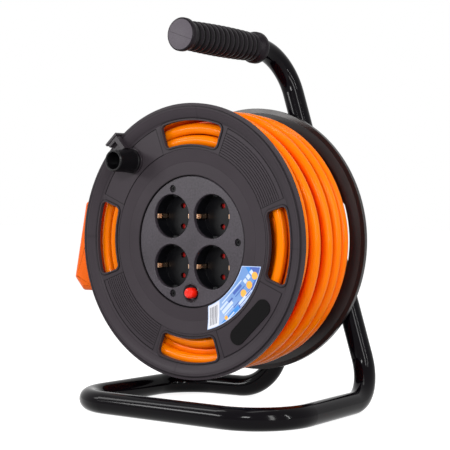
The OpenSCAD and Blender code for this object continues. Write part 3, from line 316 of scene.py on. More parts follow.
class Value:
    """A number that varies over a surface: an output socket with Python's operators."""

    def __init__(self, tree, socket):
        self.tree = tree
        self.socket = socket

    def math(self, operation, *operands, clamp=False):
        node = self.tree.nodes.new("ShaderNodeMath")
        node.operation = operation
        node.use_clamp = clamp
        for socket, operand in zip(node.inputs, operands):
            if isinstance(operand, Value):
                self.tree.links.new(operand.socket, socket)
            else:
                socket.default_value = operand
        return Value(self.tree, node.outputs[0])

    def __add__(self, other):
        return self.math("ADD", self, other)

    def __radd__(self, other):
        return self.math("ADD", other, self)

    def __sub__(self, other):
        return self.math("SUBTRACT", self, other)

    def __rsub__(self, other):
        return self.math("SUBTRACT", other, self)

    def __mul__(self, other):
        return self.math("MULTIPLY", self, other)

    def __rmul__(self, other):
        return self.math("MULTIPLY", other, self)

    def __truediv__(self, other):
        return self.math("DIVIDE", self, other)

    def __rtruediv__(self, other):
        return self.math("DIVIDE", other, self)

    def __abs__(self):
        return self.math("ABSOLUTE", self)

    def __gt__(self, other):
        return self.math("GREATER_THAN", self, other)

    def __lt__(self, other):
        return self.math("LESS_THAN", self, other)

    def root(self):
        return self.math("SQRT", self)

    def part(self):
        """What is left over a whole number."""
        return self.math("FRACT", self)

    def limited(self):
        """Kept between 0 and 1."""
        return self.math("ADD", self, 0.0, clamp=True)

    def larger(self, other):
        return self.math("MAXIMUM", self, other)

    def angle(self, x):
        """The angle in degrees of a place whose other distance is x."""
        return self.math("ARCTAN2", self, x) * (180 / math.pi)

    def rise(self, low, high):
        """0 below low, 1 above high, and straight between them."""
        return ((self - low) / (high - low)).limited()


def distance(across, up):
    """How far a place is whose distances along two axes are these."""
    return (across * across + up * up).root()


def line(offset, half_width):
    """1 where an offset is 0, falling to 0 at half_width on both sides."""
    return 1 - (abs(offset) / half_width).limited()


def largest(*values):
    """The largest of several values at each place."""
    found = values[0]
    for value in values[1:]:
        found = found.larger(value)
    return found


class Nodes:
    """The nodes of a material or of the world."""

    def __init__(self, tree):
        self.tree = tree

    def add(self, kind, settings=None, sockets=None):
        """A node of a kind, with its settings and then the values or links of its sockets."""
        node = self.tree.nodes.new(kind)
        for key, value in (settings or {}).items():
            setattr(node, key, value)
        for key, value in (sockets or {}).items():
            self.feed(self.socket_of(node.inputs, key), value)
        return node

    @staticmethod
    def socket_of(sockets, key):
        if isinstance(key, int):
            return sockets[key]
        return next(s for s in sockets if s.name == key and s.enabled)

    def feed(self, socket, value):
        if isinstance(value, Value):
            self.tree.links.new(value.socket, socket)
        elif isinstance(value, bpy.types.NodeSocket):
            self.tree.links.new(value, socket)
        elif hasattr(value, "__len__") and socket.type == "RGBA":
            socket.default_value = (*value[:3], 1)
        else:
            socket.default_value = value

    def value(self, socket):
        return Value(self.tree, socket)

    def seen_directly(self):
        """1 for what the camera, a gloss or glass shows, and 0 for light that falls on things."""
        ray = self.add("ShaderNodeLightPath")
        return largest(*(self.value(ray.outputs[kind])
                         for kind in ("Is Camera Ray", "Is Glossy Ray", "Is Transmission Ray")))


class Finish(Nodes):
    """A material round one Principled shader."""

    def __init__(self, name, base, roughness, metallic=0.0, specular=0.5):
        self.material = bpy.data.materials.new(name)
        self.material.use_nodes = True
        super().__init__(self.material.node_tree)
        self.shader = self.tree.nodes["Principled BSDF"]
        self.base = tuple(base)
        self.material.diffuse_color = (*self.base, 1)
        for socket, value in {"Base Color": (*self.base, 1), "Roughness": roughness,
                              "Metallic": metallic, "Specular IOR Level": specular}.items():
            self.shader.inputs[socket].default_value = value
        self.place = self.add("ShaderNodeTexCoord").outputs["Object"]

    def set(self, **sockets):
        """Feeds sockets of the shader, named in lower case with underscores."""
        for key, value in sockets.items():
            self.feed(self.shader.inputs[key.replace("_", " ").title()], value)

    def axes(self, origin):
        """Distances from a point along X, Y and Z, in millimetres."""
        moved = self.add("ShaderNodeVectorMath", {"operation": "SUBTRACT"},
                         {0: self.place, 1: tuple(origin)}).outputs[0]
        scaled = self.add("ShaderNodeVectorMath", {"operation": "SCALE"},
                          {0: moved, "Scale": 1 / MM}).outputs[0]
        parts = self.add("ShaderNodeSeparateXYZ", None, {0: scaled})
        return [self.value(s) for s in parts.outputs]

    def noise(self, size, detail):
        """Smooth noise from 0 to 1 whose features are about size metres across."""
        node = self.add("ShaderNodeTexNoise", None,
                        {"Vector": self.place, "Scale": 1 / size, "Detail": detail})
        return self.value(node.outputs[0])

    def mix(self, factor, first, second):
        """The first colour where factor is 0 and the second where it is 1."""
        node = self.add("ShaderNodeMix", {"data_type": "RGBA"},
                        {"Factor": factor, "A": first, "B": second})
        return next(s for s in node.outputs if s.type == "RGBA")

    def tint(self, amount, shade=None):
        """The colour made darker or lighter by amount, which lies round 0."""
        shade = shade or self.base
        dark = tuple(c * 0.5 for c in shade)
        light = tuple(min(1.0, c * 1.5) for c in shade)
        return self.mix((amount + 0.5).limited(), dark, light)

    def relief(self, height, depth, edge=0.0):
        """Bumps of a depth in metres; edge rounds sharp corners over that many metres."""
        sockets = {"Height": height, "Distance": depth, "Strength": 1.0}
        if edge:
            sockets["Normal"] = self.add("ShaderNodeBevel", {"samples": 4},
                                         {"Radius": edge}).outputs[0]
        self.set(normal=self.add("ShaderNodeBump", None, sockets).outputs[0])


def moulded(name, shade, roughness, grain, depth=0.00004, edge=0.0004, specular=0.18,
            mottle=0.10):
    """Moulded plastic: a fine eroded grain, faint flow mottling and softened edges."""
    finish = Finish(name, shade, roughness, specular=specular)
    flow = finish.noise(0.03, 3)
    fine = finish.noise(grain, 2)
    speckle = finish.noise(grain * 1.7, 1)
    finish.set(base_color=finish.tint((flow - 0.5) * mottle + (speckle - 0.5) * mottle * 1.5),
               roughness=roughness + (flow - 0.5) * 0.12 + (fine - 0.5) * 0.10)
    finish.relief(fine, depth, edge)
    return finish


def metal(name, shade, roughness):
    """Bare or plated metal with fine lines and faint stains."""
    finish = Finish(name, shade, roughness, metallic=1.0)
    lines = finish.noise(0.0006, 2)
    stain = finish.noise(0.012, 3)
    finish.set(base_color=finish.tint((stain - 0.5) * 0.3),
               roughness=roughness + (lines - 0.5) * 0.2 + (stain - 0.5) * 0.15)
    finish.relief(lines, 0.00002, 0.0002)
    return finish


def sheath(name, shade, roughness, specular=0.24, painted_shade=None):
    """Soft PVC with a dull gloss; painted_shade is the colour of the painted shade below the crowns
    of the outer turns, away from the front rim.
    """
    finish = Finish(name, shade, roughness, specular=specular)
    rubbed = finish.noise(0.02, 3)
    fine = finish.noise(0.0009, 2)
    wave = finish.noise(0.006, 1)
    tone = finish.tint((rubbed - 0.5) * 0.06)
    gloss = roughness + (rubbed - 0.5) * 0.1 + (fine - 0.5) * 0.05
    if painted_shade:
        # Painted shade: below the crowns of the outer turns, except close behind the front rim, the
        # sheath takes the painted shade colour
        x, y, z = finish.axes(AXIS)
        slow, quick = (1 - y.rise(*ends) for ends in CROWN_Y)
        unshaded = distance(x, z).rise(*CROWN_R).larger(slow * quick)
        tone = finish.mix(unshaded, painted_shade, tone)
        gloss = gloss + (1 - unshaded) * 0.08
    finish.set(base_color=tone, roughness=gloss)
    finish.relief(wave, 0.000008)
    return finish


def front_plastic(name, shade, grain):
    """The front flange's satin plastic, with painted shade as dark lines along its beads, sector
    edges, grooves and circles.
    """
    roughness = 0.38
    finish = Finish(name, shade, roughness, specular=0.06)
    x, y, z = finish.axes(AXIS)
    radius = distance(x, z)
    turn = z.angle(x)
    flow = finish.noise(0.035, 3)
    fine = finish.noise(grain, 2)
    marks = largest(*(line(turn - place, half_width) for place, half_width in RIM_MARKS))
    marks = marks * ((radius > RIM_IN) * (radius < RIM_OUT))
    # Degrees from the middle of the nearest window, and millimetres outside its edge
    off = abs(((turn + WINDOW_TURN) / WINDOW_PITCH + 4.5).part() - 0.5) * WINDOW_PITCH
    across = (off - WINDOW_HALF) * radius * math.radians(1)
    high = abs(radius - (WINDOW_IN + WINDOW_OUT) / 2) - (WINDOW_OUT - WINDOW_IN) / 2
    outside = distance((across + WINDOW_CORNER).larger(0.0),
                       (high + WINDOW_CORNER).larger(0.0)) - WINDOW_CORNER
    bead = line(outside - 1.9, 0.8)
    # Millimetres inside the straight side of the nearest sector
    inside = (off - SECTOR_EDGE) * radius * math.radians(1)
    side = line(inside, 0.7) * (radius > SECTOR_IN + 0.3) * (radius < WINDOW_OUT - 0.1)
    arcs = line(radius - WINDOW_OUT, 0.75).larger(line(radius - SECTOR_IN, 0.7)) * (inside > -0.4)
    grooved = (inside > 1.6) * (radius > GROOVES_IN) * (radius < GROOVES_OUT) * ((x * z) > 0)
    painted_groove_shade = line(((radius - GROOVE_FIRST) / GROOVE_PITCH + 0.5).part() - 0.5, 0.24)
    circles = [line(radius - place, half_width) * darkness
               for place, half_width, darkness in FLANGE_SHADE_CIRCLES]
    # Painted shade: dark lines along the beads, sector sides and arcs, grooves and circles darken
    # the face towards 8 % of its colour
    dark = largest(bead, side, arcs, grooved * painted_groove_shade * 0.8, *circles) * 0.9 * (y < FLANGE_FACE_Y)
    amount = (flow - 0.5) * 0.2 + (fine - 0.5) * 0.2 - marks * 0.2
    finish.set(base_color=finish.mix(dark, finish.tint(amount), tuple(c * 0.08 for c in shade)),
               roughness=roughness + (flow - 0.5) * 0.16 + (fine - 0.5) * 0.1 + marks * 0.1)
    finish.relief(fine - marks * 0.8 - dark * 1.5, 0.00004, 0.0005)
    return finish


# ---------------------------------------------------------------- mesh kit


def add_piece(name, verts, faces, finish):
    """A mesh object with one material, standing in the row's frame."""
    mesh = bpy.data.meshes.new(name)
    mesh.from_pydata([tuple(v) for v in verts], [], faces)
    mesh.materials.append(finish.material)
    mesh.validate()
    mesh.shade_smooth()
    piece = bpy.data.objects.new(name, mesh)
    bpy.context.scene.collection.objects.link(piece)
    return piece


def circle(count):
    """Angles of that many points round a circle."""
    return [2 * math.pi * k / count for k in range(count)]


def skin(rings):
    """Vertices and faces of a closed skin over rings that have the same count of points."""
    count = len(rings[0])
    verts = [v for ring in rings for v in ring]
    faces = []
    for i in range(len(rings) - 1):
        for j in range(count):
            k = (j + 1) % count
            faces.append((i * count + j, i * count + k, (i + 1) * count + k, (i + 1) * count + j))
    faces.append(tuple(range(count))[::-1])
    last = (len(rings) - 1) * count
    faces.append(tuple(range(last, last + count)))
    return verts, faces


def sharpen(piece, degrees):
    """Keeps edges crisp that turn more than that."""
    piece.data.set_sharp_from_angle(angle=math.radians(degrees))


def tube(points, radius, sides):
    """Rings of a round tube along points, each turned as little as possible from the last."""
    rings = []
    side = None
    for i, point in enumerate(points):
        ahead = (points[min(i + 1, len(points) - 1)] - points[max(i - 1, 0)]).normalized()
        if side is None:
            side = ahead.orthogonal()
        side = (side - ahead * side.dot(ahead)).normalized()
        up = ahead.cross(side)
        rings.append([point + (side * math.cos(a) + up * math.sin(a)) * radius
                      for a in circle(sides)])
    return skin(rings)


def turned(origin, axis, profile, sides):
    """A turned form: profile holds (radius, distance along the axis) in millimetres."""
    axis = Vector(axis).normalized()
    side = axis.orthogonal().normalized()
    up = axis.cross(side)
    return skin([[origin + axis * along * MM + (side * math.cos(a) + up * math.sin(a)) * radius * MM
                  for a in circle(sides)] for radius, along in profile])


def smooth_through(knots, place):
    """Values at a place on a smooth curve through knots of (place, value, value ...)."""
    i = max(k for k in range(len(knots) - 1) if k == 0 or knots[k][0] <= place)
    before, start, end, after = (knots[max(i - 1, 0)], knots[i], knots[i + 1],
                                 knots[min(i + 2, len(knots) - 1)])
    span = end[0] - start[0]
    t = (place - start[0]) / span
    found = []
    for axis in range(1, len(start)):
        slope_in = (end[axis] - before[axis]) / (end[0] - before[0]) * span
        slope_out = (after[axis] - start[axis]) / (after[0] - start[0]) * span
        found.append((2 * t ** 3 - 3 * t ** 2 + 1) * start[axis]
                     + (t ** 3 - 2 * t ** 2 + t) * slope_in
                     + (3 * t ** 2 - 2 * t ** 3) * end[axis]
                     + (t ** 3 - t ** 2) * slope_out)
    return found


def wound(knots, first_angle, rings_per_turn, direction=1):
    """Points of a winding whose radius and depth follow the knots, turn by turn."""
    start, end = knots[0][0], knots[-1][0]
    steps = int((end - start) * rings_per_turn)
    points = []
    for k in range(steps + 1):
        turns = start + (end - start) * k / steps
        radius, depth = smooth_through(knots, turns)
        waver = 0.15 * math.sin(turns * 23.1) + 0.1 * math.sin(turns * 41.7 + 1)
        points.append(around(radius + waver, first_angle + direction * 2 * math.pi * turns, depth))
    return points


def stands_for(piece, body, solid):
    """Lets a piece move with a body, in place of a solid, which it hides."""
    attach(piece, body)
    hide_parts(solid)


# ---------------------------------------------------------------- finishes of the solids

FINISHES = {}


def shared(name, make):
    """The finish of that name, made once."""
    if name not in FINISHES:
        FINISHES[name] = make()
    return FINISHES[name]


def finish_solids(finish, *names):
    """Gives carried-over solids their finish."""
    for name in names:
        materials = NODES[name].data.materials
        materials.clear()
        materials.append(finish.material)


def settings():
    return bpy.context.scene.cord_reel


def cable_finish():
    s = settings().cable
    name = "orange sheath"
    # The cable's sheath, with painted shade between and below its turns
    return shared(name, lambda: sheath(name, s.sheath, s.gloss, 0.07, s.painted_shade))


def steel():
    name = "zinc plated steel"
    return shared(name, lambda: metal(name, screen(188, 190, 194), 0.3))


def small_black():
    s = settings().plastic
    name = "black plastic"
    return shared(name, lambda: moulded(name, s.black, 0.3, s.grain, specular=0.12))


# ---------------------------------------------------------------- operators


class CORDREEL_OT_view(bpy.types.Operator):
    """Stands the camera in front of the drum, to its right and a little above its axle"""
    bl_idname = "cord_reel.view"
    bl_label = "Camera"

    def execute(self, context):
        lens = bpy.data.cameras.new("reel view")
        lens.lens = VIEW_LENS
        lens.sensor_width = VIEW_SENSOR
        lens.clip_start = 0.1
        camera = bpy.data.objects.new("reel view", lens)
        camera.location = VIEW_PLACE
        camera.rotation_euler = (math.radians(VIEW_TILT), 0, math.radians(VIEW_TURN))
        context.scene.collection.objects.link(camera)
        context.scene.camera = camera
        return {"FINISHED"}


class CORDREEL_OT_tail(bpy.types.Operator):
    """The cable's free end, from the winding to the plug, and the plug itself"""
    bl_idname = "cord_reel.tail"
    bl_label = "Tail and plug"

    def execute(self, context):
        s = settings().cable
        plug = self.plug()
        leaves = Vector((WINDING_FRONT_R * math.cos(TAIL_ANGLE), WINDING_FRONT_Y,
                         WINDING_FRONT_R * math.sin(TAIL_ANGLE)))
        start = leaves + TAIL_HEADING * CABLE_D
        route = [start, start + TAIL_HEADING * TAIL_STRAIGHT, *[Vector(p) for p in TAIL_ROUTE],
                 *[Vector(RELIEF_TOP) + RELIEF_HEADING * step for step in TAIL_LAST_STEPS]]
        curve = bpy.data.curves.new("cable_end", "CURVE")
        curve.dimensions = "3D"
        curve.bevel_depth = s.diameter / 2
        curve.bevel_resolution = 6
        curve.resolution_u = 8
        curve.use_fill_caps = True
        spline = curve.splines.new("BEZIER")
        spline.bezier_points.add(len(route) - 1)
        for knot, place in zip(spline.bezier_points, route):
            knot.co = at(*place)
            knot.handle_left_type = knot.handle_right_type = "AUTO"
        curve.materials.append(cable_finish().material)
        cable_end = bpy.data.objects.new("cable_end", curve)
        context.scene.collection.objects.link(cable_end)
        stands_for(cable_end, "drum", "cable_tail")
        length = sum((b - a).length for a, b in zip(route, route[1:])) * MM
        finish_solids(metal("plug plating", screen(205, 206, 208), 0.22),
                      "plug_pins", "plug_earth_strips")
        return {"FINISHED"}

    def plug(self):
        """The moulded angled plug with its round face and its ringed strain relief."""
        s = settings().cable
        skin_finish = sheath("plug body", s.plug, 0.4, 0.12)
        outline = self.rounded(PLUG_OUTLINE, PLUG_CORNER)
        verts, faces = [], []

        def join(part):
            offset = len(verts)
            verts.extend(part[0])
            faces.extend(tuple(i + offset for i in face) for face in part[1])

        y = PLUG_FRONT_Y
        body = [(y, 4.6), (y + 0.5, 3.4), (y + 2.6, 0.7), (y + 4, 0.0), (y + 11, 0.0),
                (y + 11.5, 0.9), (y + 13, 0.9), (y + 13.5, 0.0), (PLUG_BODY_Y - 1, 0.0),
                (PLUG_BODY_Y, 1.0)]
        join(skin([[at(p[0] - n[0] * inset, depth, p[1] - n[1] * inset) for p, n in outline]
                   for depth, inset in body]))
        face = [(PLUG_BODY_Y - 1, 0.0), (PLUG_FACE_Y - 1, 0.0), (PLUG_FACE_Y - 0.3, 0.3),
                (PLUG_FACE_Y, 1.0)]
        join(skin([[self.face_point(angle, inset, depth) for angle in circle(PLUG_FACE_SIDES)]
                   for depth, inset in face]))
        profile = [(4.0, -0.5), (6.0, 0.0), (6.3, 0.6)]
        for ring in range(RELIEF_RINGS):
            r = 6.4 + 0.35 * ring
            along = 1.2 + 3.2 * ring
            profile += [(r, along), (r, along + 1.9),
                        (r - 1.1, along + 2.2), (r - 1.1, along + 2.9)]
        profile += [(8.2, 17.2), (9.2, 21.0)]
        join(turned(at(*RELIEF_TOP), RELIEF_HEADING, profile, 40))
        plug = add_piece("plug_shell", verts, faces, skin_finish)
        sharpen(plug, 50)
        stands_for(plug, "drum", "plug_body")
        return plug

    @staticmethod
    def face_point(angle, inset, depth):
        """A point of the round face, which has a slot for an earth strip above and below."""
        slot = abs(angle % math.pi - math.pi / 2) < PLUG_SLOT_HALF
        radius = (PLUG_SLOT_R if slot else PLUG_FACE_R) - inset
        return at(PLUG_CENTRE[0] + radius * math.cos(angle), depth,
                  PLUG_CENTRE[1] + radius * math.sin(angle))

    @staticmethod
    def rounded(outline, radius, steps=6):
        """Points and outward directions of a polygon with rounded corners."""
        found = []
        middle = sum((Vector(p) for p in outline), Vector((0, 0))) / len(outline)
        for i, corner in enumerate(outline):
            corner = Vector(corner)
            before = (Vector(outline[i - 1]) - corner).normalized()
            after = (Vector(outline[(i + 1) % len(outline)]) - corner).normalized()
            half = before.angle(after) / 2
            reach = min(radius / math.tan(half), 6.0)
            start, end = corner + before * reach, corner + after * reach
            for k in range(steps + 1):
                t = k / steps
                found.append((1 - t) ** 2 * start + 2 * t * (1 - t) * corner + t ** 2 * end)
        outward = []
        for i, point in enumerate(found):
            along = found[(i + 1) % len(found)] - found[i - 1]
            normal = Vector((along.y, -along.x)).normalized()
            outward.append(normal if normal.dot(point - middle) > 0 else -normal)
        return list(zip(found, outward))


class CORDREEL_OT_winding(bpy.types.Operator):
    """The wound cable: its loose outer layer, the layers the windows show and the bulk inside"""
    bl_idname = "cord_reel.winding"
    bl_label = "Wound cable"

    def execute(self, context):
        s = settings().cable
        finish = cable_finish()
        heading = TAIL_HEADING * CABLE_D * MM
        outer = wound(OUTER_LAYER, TAIL_ANGLE - 2 * math.pi * OUTER_TURNS, s.rings)
        last = around(WINDING_FRONT_R, TAIL_ANGLE, WINDING_FRONT_Y)
        outer = outer[:-1] + [last, last + heading / 2, last + heading]
        for name, points, solid in (
                ("outer_turns", outer, "cable_winding"),
                ("inner_turns", wound(INNER_LAYER, math.pi / 2, s.rings, -1), "cable_core"),
                ("rear_turns", wound(REAR_LAYER, 0.0, s.rings), "cable_core")):
            strand = add_piece(name, *tube(points, s.diameter / 2, s.sides), finish)
            stands_for(strand, "drum", solid)
        bulk = add_piece("cable_bulk", *turned(at(0, 0, 0), (0, 1, 0), BULK_PROFILE, 96), finish)
        sharpen(bulk, 35)
        stands_for(bulk, "drum", "cable_core")
        return {"FINISHED"}


class CORDREEL_OT_drum(bpy.types.Operator):
    """Finishes of the flanges, the barrel, the hub and their screws"""
    bl_idname = "cord_reel.drum"
    bl_label = "Drum"

    def execute(self, context):
        s = settings().plastic
        finish_solids(front_plastic("front flange", s.drum, s.grain), "front_flange")
        finish_solids(moulded("rear flange", s.rear, 0.32, s.grain, 0.00001, specular=0.4),
                      "rear_flange", "drum_barrel")
        finish_solids(moulded("bush nylon", screen(214, 210, 198), 0.5, s.grain),
                      "hub_bush_inner", "hub_bush_outer")
        finish_solids(steel(), "tie_screws")
        return {"FINISHED"}


class CORDREEL_OT_sockets(bpy.types.Operator):
    """Finishes of the socket panel, the sockets and what lies behind them"""
    bl_idname = "cord_reel.sockets"
    bl_label = "Sockets"

    def execute(self, context):
        s = settings().plastic
        finish_solids(moulded("socket panel", s.panel, 0.4, s.grain * 1.6, 0.00008, specular=0.26,
                              mottle=0.8), "socket_panel")
        finish_solids(moulded("socket cups", s.socket, 0.42, s.grain, specular=0.15),
                      *[f"socket_cup_{n}" for n in "1234"])
        finish_solids(moulded("shutter red", s.red, 0.35, s.grain, specular=0.4),
                      *[f"shutter_{n}" for n in "1234"])
        finish_solids(moulded("button red", screen(224, 28, 12), 0.16, s.grain, 0.00001,
                              specular=0.26), "reset_button")
        finish_solids(moulded("reset bezel", screen(44, 40, 44), 0.3, s.grain, specular=0.3),
                      "reset_bezel")
        finish_solids(small_black(), "panel_screws", "thermal_cutout", "contact_carrier",
                      "carrier_cover", "cable_gland")
        finish_solids(metal("contact brass", screen(214, 168, 96), 0.28),
                      "live_contacts", "neutral_contacts")
        finish_solids(metal("earth clips", screen(214, 176, 146), 0.2), "earth_contacts")
        finish_solids(steel(), "carrier_screws")
        finish_solids(moulded("terminal block", screen(222, 218, 206), 0.45, s.grain),
                      "terminal_block")
        finish_solids(sheath("wire insulation", screen(150, 112, 60), 0.4), "inner_wires")
        finish_solids(cable_finish(), "cable_inner_end")
        return {"FINISHED"}


class CORDREEL_OT_knob(bpy.types.Operator):
    """Finishes of the crank knob, its bracket and its rivet"""
    bl_idname = "cord_reel.knob"
    bl_label = "Crank knob"

    def execute(self, context):
        s = settings().plastic
        finish_solids(small_black(), "crank_knob")
        finish_solids(moulded("knob bracket", s.bracket, 0.34, s.grain, specular=0.2),
                      "knob_bracket")
        finish_solids(steel(), "knob_rivet")
        return {"FINISHED"}


class CORDREEL_OT_label(bpy.types.Operator):
    """A plain round label in blues with discs and bars, and a bare black badge"""
    bl_idname = "cord_reel.label"
    bl_label = "Label and badge"

    def execute(self, context):
        s = settings().label
        label = Finish("round label", s.field, 0.32, specular=0.3)
        shade = self.printed(label, s)
        paper = label.noise(0.0005, 2)
        label.set(base_color=shade, roughness=0.3 + paper * 0.1)
        label.relief(paper, 0.00001)
        finish_solids(label, "label")
        finish_solids(moulded("badge", screen(10, 9, 10), 0.3, 0.0009, 0.00001, 0.0003, 0.06, 0.05),
                      "badge_plate")
        return {"FINISHED"}

    @staticmethod
    def printed(label, s):
        """The label's colours: bands, then squares, discs and bars, a ruled strip and a border."""
        x, _, z = label.axes(AXIS)
        radius = distance(x, z)
        along = (x + z) * math.sqrt(0.5)
        out = (x - z) * math.sqrt(0.5)

        def bars(places, tone):
            return [((abs(along - a) < half) * (abs(out - o) < high), tone)
                    for a, half, o, high in places]

        white = screen(184, 196, 216)
        upper = along > 28.6 - (out - 57.9) * 0.14
        lower = (out > 76.6 + along * 0.02) * (along < -1.0)
        corner = ((out > 77.6 - along * 0.13) * (along > -1.0)).larger((along > 31) * (out > 62))
        strip = x < STRIP_EDGE
        ruled = ((x > RULES_X[0]) * (x < RULES_X[1]) * (radius > RULES_R[0]) * (radius < RULES_R[1])
                 * ((x / RULES_PITCH).part() > 0.5))
        border = largest(radius > LABEL_OUT - LABEL_BORDER, radius < LABEL_IN + LABEL_BORDER,
                         x < LABEL_CUT + LABEL_BORDER, z > -LABEL_CUT - LABEL_BORDER)
        shade = label.mix(along.rise(*LABEL_FADE), screen(142, 166, 204), s.field)
        for where, tone in (
                (upper, s.band),
                (lower, s.band),
                (corner, s.corner),
                *[(abs(along - a).larger(abs(out - o)) < size, white)
                  for a, o, size in LABEL_SQUARES],
                *[(distance(along - a, out - o) < size, s.discs) for a, o, size in LABEL_DISCS],
                *bars(LABEL_PALE_BARS, white),
                *bars(LABEL_DARK_BARS, s.corner),
                (strip, screen(200, 201, 208)),
                (strip * ruled, screen(96, 97, 102)),
                (border, screen(166, 186, 220))):
            shade = label.mix(where, shade, tone)
        return shade


class CORDREEL_OT_stand(bpy.types.Operator):
    """The black tube stand, its ribbed grip and its fittings"""
    bl_idname = "cord_reel.stand"
    bl_label = "Stand"

    def execute(self, context):
        s = settings().stand
        paint = Finish("powder coat", s.paint, 0.11, specular=0.08)
        peel = paint.noise(0.0022, 2)
        wear = paint.noise(0.02, 4)
        paint.set(base_color=paint.tint((wear - 0.5) * 0.2), roughness=0.11 + (wear - 0.5) * 0.08)
        paint.relief(peel, 0.000006)
        finish_solids(paint, "frame_tube", "axle_bracket")
        finish_solids(small_black(), "leg_end_cap")
        finish_solids(steel(), "axle", "axle_nut", "bracket_bolt", "retaining_washer",
                      "thrust_washer")
        finish_solids(metal("dark steel", screen(90, 90, 94), 0.4), "retaining_ring")
        self.grip()
        return {"FINISHED"}

    def grip(self):
        """The ribbed grip, with painted shade in its grooves and a seam across its end disc, whose
        pale colour is a painted sheen.
        """
        s = settings().stand
        rubber = Finish("grip rubber", s.rubber, 0.4, specular=0.08)
        fine = rubber.noise(0.0008, 2)
        flow = rubber.noise(0.02, 3)
        x, y, z = rubber.axes(at(*GRIP_START))
        disc = (y < 0.7 - GRIP_AHEAD) * (distance(x, z) < GRIP_DISC_R)
        seam = disc * (abs(z + x * 0.35 + 1.0) < 0.25)
        first, last = GRIP_RIBS_START, GRIP_RIBS_END
        pitch = (last - first) / GRIP_RIBS
        place = (y + (GRIP_AHEAD - first)) / pitch
        # Painted shade: the grooves between the ribs are darkened to 15 % of the rubber's colour
        painted_groove_shade = abs(place.part() - 0.5).rise(0.24, 0.4) * (place > 0.0) * (place < GRIP_RIBS)
        ribbed = rubber.mix(painted_groove_shade, rubber.tint((flow - 0.5) * 0.2 + (fine - 0.5) * 0.15 - seam),
                            tuple(c * 0.15 for c in s.rubber))
        # Painted sheen: the end disc is a paler grey than the rubber
        pale = rubber.tint((fine - 0.5) * 0.4 - seam * 0.4, screen(76, 71, 77))
        rubber.set(base_color=rubber.mix(disc, ribbed, pale),
                   roughness=0.4 + (flow - 0.5) * 0.15 + (fine - 0.5) * 0.1 + painted_groove_shade * 0.3)
        rubber.relief(fine - seam * 2, 0.00004)
        start, towards = Vector(GRIP_START), Vector(GRIP_TOWARDS)
        axis = (towards - start).normalized()
        ahead = at(*(start - axis * GRIP_AHEAD))
        profile = [(0.01, 0), (GRIP_END_R - 1.4, 0), (GRIP_END_R - 0.5, 0.25), (GRIP_END_R, 1.2),
                   (GRIP_END_R, 4.6), (GRIP_END_R - 0.4, 5.7), (GRIP_END_R - 1.2, 6.4), (12.6, 6.9),
                   (12.4, 8.0), (12.4, first - 1.2)]
        for rib in range(GRIP_RIBS):
            middle = 2 * (rib + 0.5) / GRIP_RIBS - 1
            crest = GRIP_RIB_R - 1.1 * middle ** 2
            for step in range(9):
                t = step / 8
                swell = math.sin(math.pi * t) ** 0.55 if 0 < t < 1 else 0.0
                profile.append((crest - (1 - swell) * s.rib_depth / MM, first + (rib + t) * pitch))
        profile += [(12.8, last + 1.2), (13.4, last + 2.4), (GRIP_END_R - 0.6, last + 3.2),
                    (GRIP_END_R, last + 4.2), (GRIP_END_R, GRIP_LENGTH - 2.4),
                    (GRIP_END_R - 0.5, GRIP_LENGTH - 1.0), (GRIP_END_R - 1.6, GRIP_LENGTH - 0.1),
                    (12.2, GRIP_LENGTH)]
        grip = add_piece("ribbed_grip", *turned(ahead, axis, profile, 64), rubber)
        sharpen(grip, 60)
        stands_for(grip, "stand", "handle_grip")


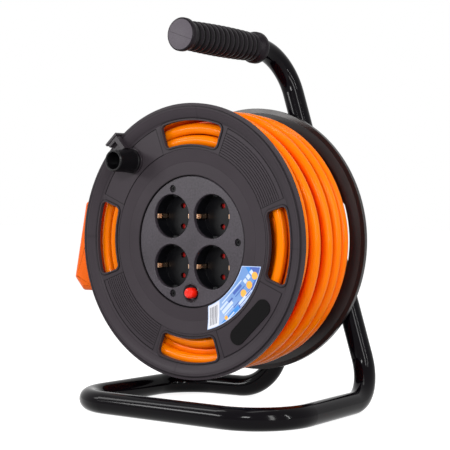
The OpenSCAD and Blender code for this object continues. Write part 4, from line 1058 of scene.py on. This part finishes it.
class CORDREEL_OT_stage(bpy.types.Operator):
    """A pale floor, even surroundings and six soft lights"""
    bl_idname = "cord_reel.stage"
    bl_label = "Floor and lights"

    def execute(self, context):
        s = settings().stage
        self.floor()
        self.surroundings(s.sky)
        target = at(0, 50, 0)
        for name, place, wide, high in LAMPS:
            lamp = bpy.data.lights.new(f"{name} light", "AREA")
            lamp.shape = "RECTANGLE"
            lamp.size = wide
            lamp.size_y = high
            lamp.energy = getattr(s, name)
            light = bpy.data.objects.new(f"{name} light", lamp)
            light.location = place
            light.rotation_euler = (target - Vector(place)).to_track_quat("-Z", "Y").to_euler()
            context.scene.collection.objects.link(light)
        context.scene.view_settings.view_transform = "Standard"
        return {"FINISHED"}

    @staticmethod
    def floor():
        """A wide pale floor that glows where it is seen, so that it ends in white."""
        pale = Finish("pale floor", screen(176, 176, 176), 0.9, specular=0.0)
        grain = pale.noise(0.02, 3)
        pale.set(base_color=pale.tint((grain - 0.5) * 0.01))
        glow = pale.add("ShaderNodeEmission", None,
                        {"Color": (1, 1, 1), "Strength": pale.seen_directly() * FLOOR_GLOW})
        both = pale.add("ShaderNodeAddShader", None,
                        {0: pale.shader.outputs[0], 1: glow.outputs[0]})
        pale.feed(pale.tree.nodes["Material Output"].inputs["Surface"], both.outputs[0])
        wide = FLOOR_HALF
        corners = [(-wide, -wide, 0), (wide, -wide, 0), (wide, wide, 0), (-wide, wide, 0)]
        add_piece("floor", corners, [(0, 1, 2, 3)], pale)

    @staticmethod
    def surroundings(strength):
        """White where they are seen, and an even light of a strength for the rest."""
        world = bpy.data.worlds.new("even surroundings")
        world.use_nodes = True
        sky = Nodes(world.node_tree)
        background = sky.tree.nodes["Background"]
        sky.feed(background.inputs["Color"], (1, 1, 1))
        sky.feed(background.inputs["Strength"], sky.seen_directly() * (1 - strength) + strength)
        bpy.context.scene.world = world


STEPS = (CORDREEL_OT_view, CORDREEL_OT_tail, CORDREEL_OT_winding, CORDREEL_OT_drum,
         CORDREEL_OT_sockets, CORDREEL_OT_knob, CORDREEL_OT_label, CORDREEL_OT_stand,
         CORDREEL_OT_stage)


class CORDREEL_PT_panel(bpy.types.Panel):
    """Lists the reel's pieces and their settings"""
    bl_idname = "CORDREEL_PT_panel"
    bl_label = "Cord Reel"
    bl_space_type = "VIEW_3D"
    bl_region_type = "UI"
    bl_category = "Cord Reel"

    def draw(self, context):
        for step in STEPS:
            self.layout.operator(step.bl_idname)
        reel = context.scene.cord_reel
        for group in (reel.cable, reel.plastic, reel.stand, reel.label, reel.stage):
            box = self.layout.box()
            for name in group.__annotations__:
                box.prop(group, name)


CLASSES = (CableSettings, PlasticSettings, StandSettings, LabelSettings, StageSettings,
           ReelSettings, *STEPS, CORDREEL_PT_panel)


def register():
    for each in CLASSES:
        bpy.utils.register_class(each)
    bpy.types.Scene.cord_reel = PointerProperty(type=ReelSettings)


def unregister():
    del bpy.types.Scene.cord_reel
    for each in reversed(CLASSES):
        bpy.utils.unregister_class(each)


def main():
    register()
    for step in STEPS:
        group, name = step.bl_idname.split(".")
        getattr(getattr(bpy.ops, group), name)()
    bpy.context.view_layer.update()


if __name__ == "__main__":
    main()
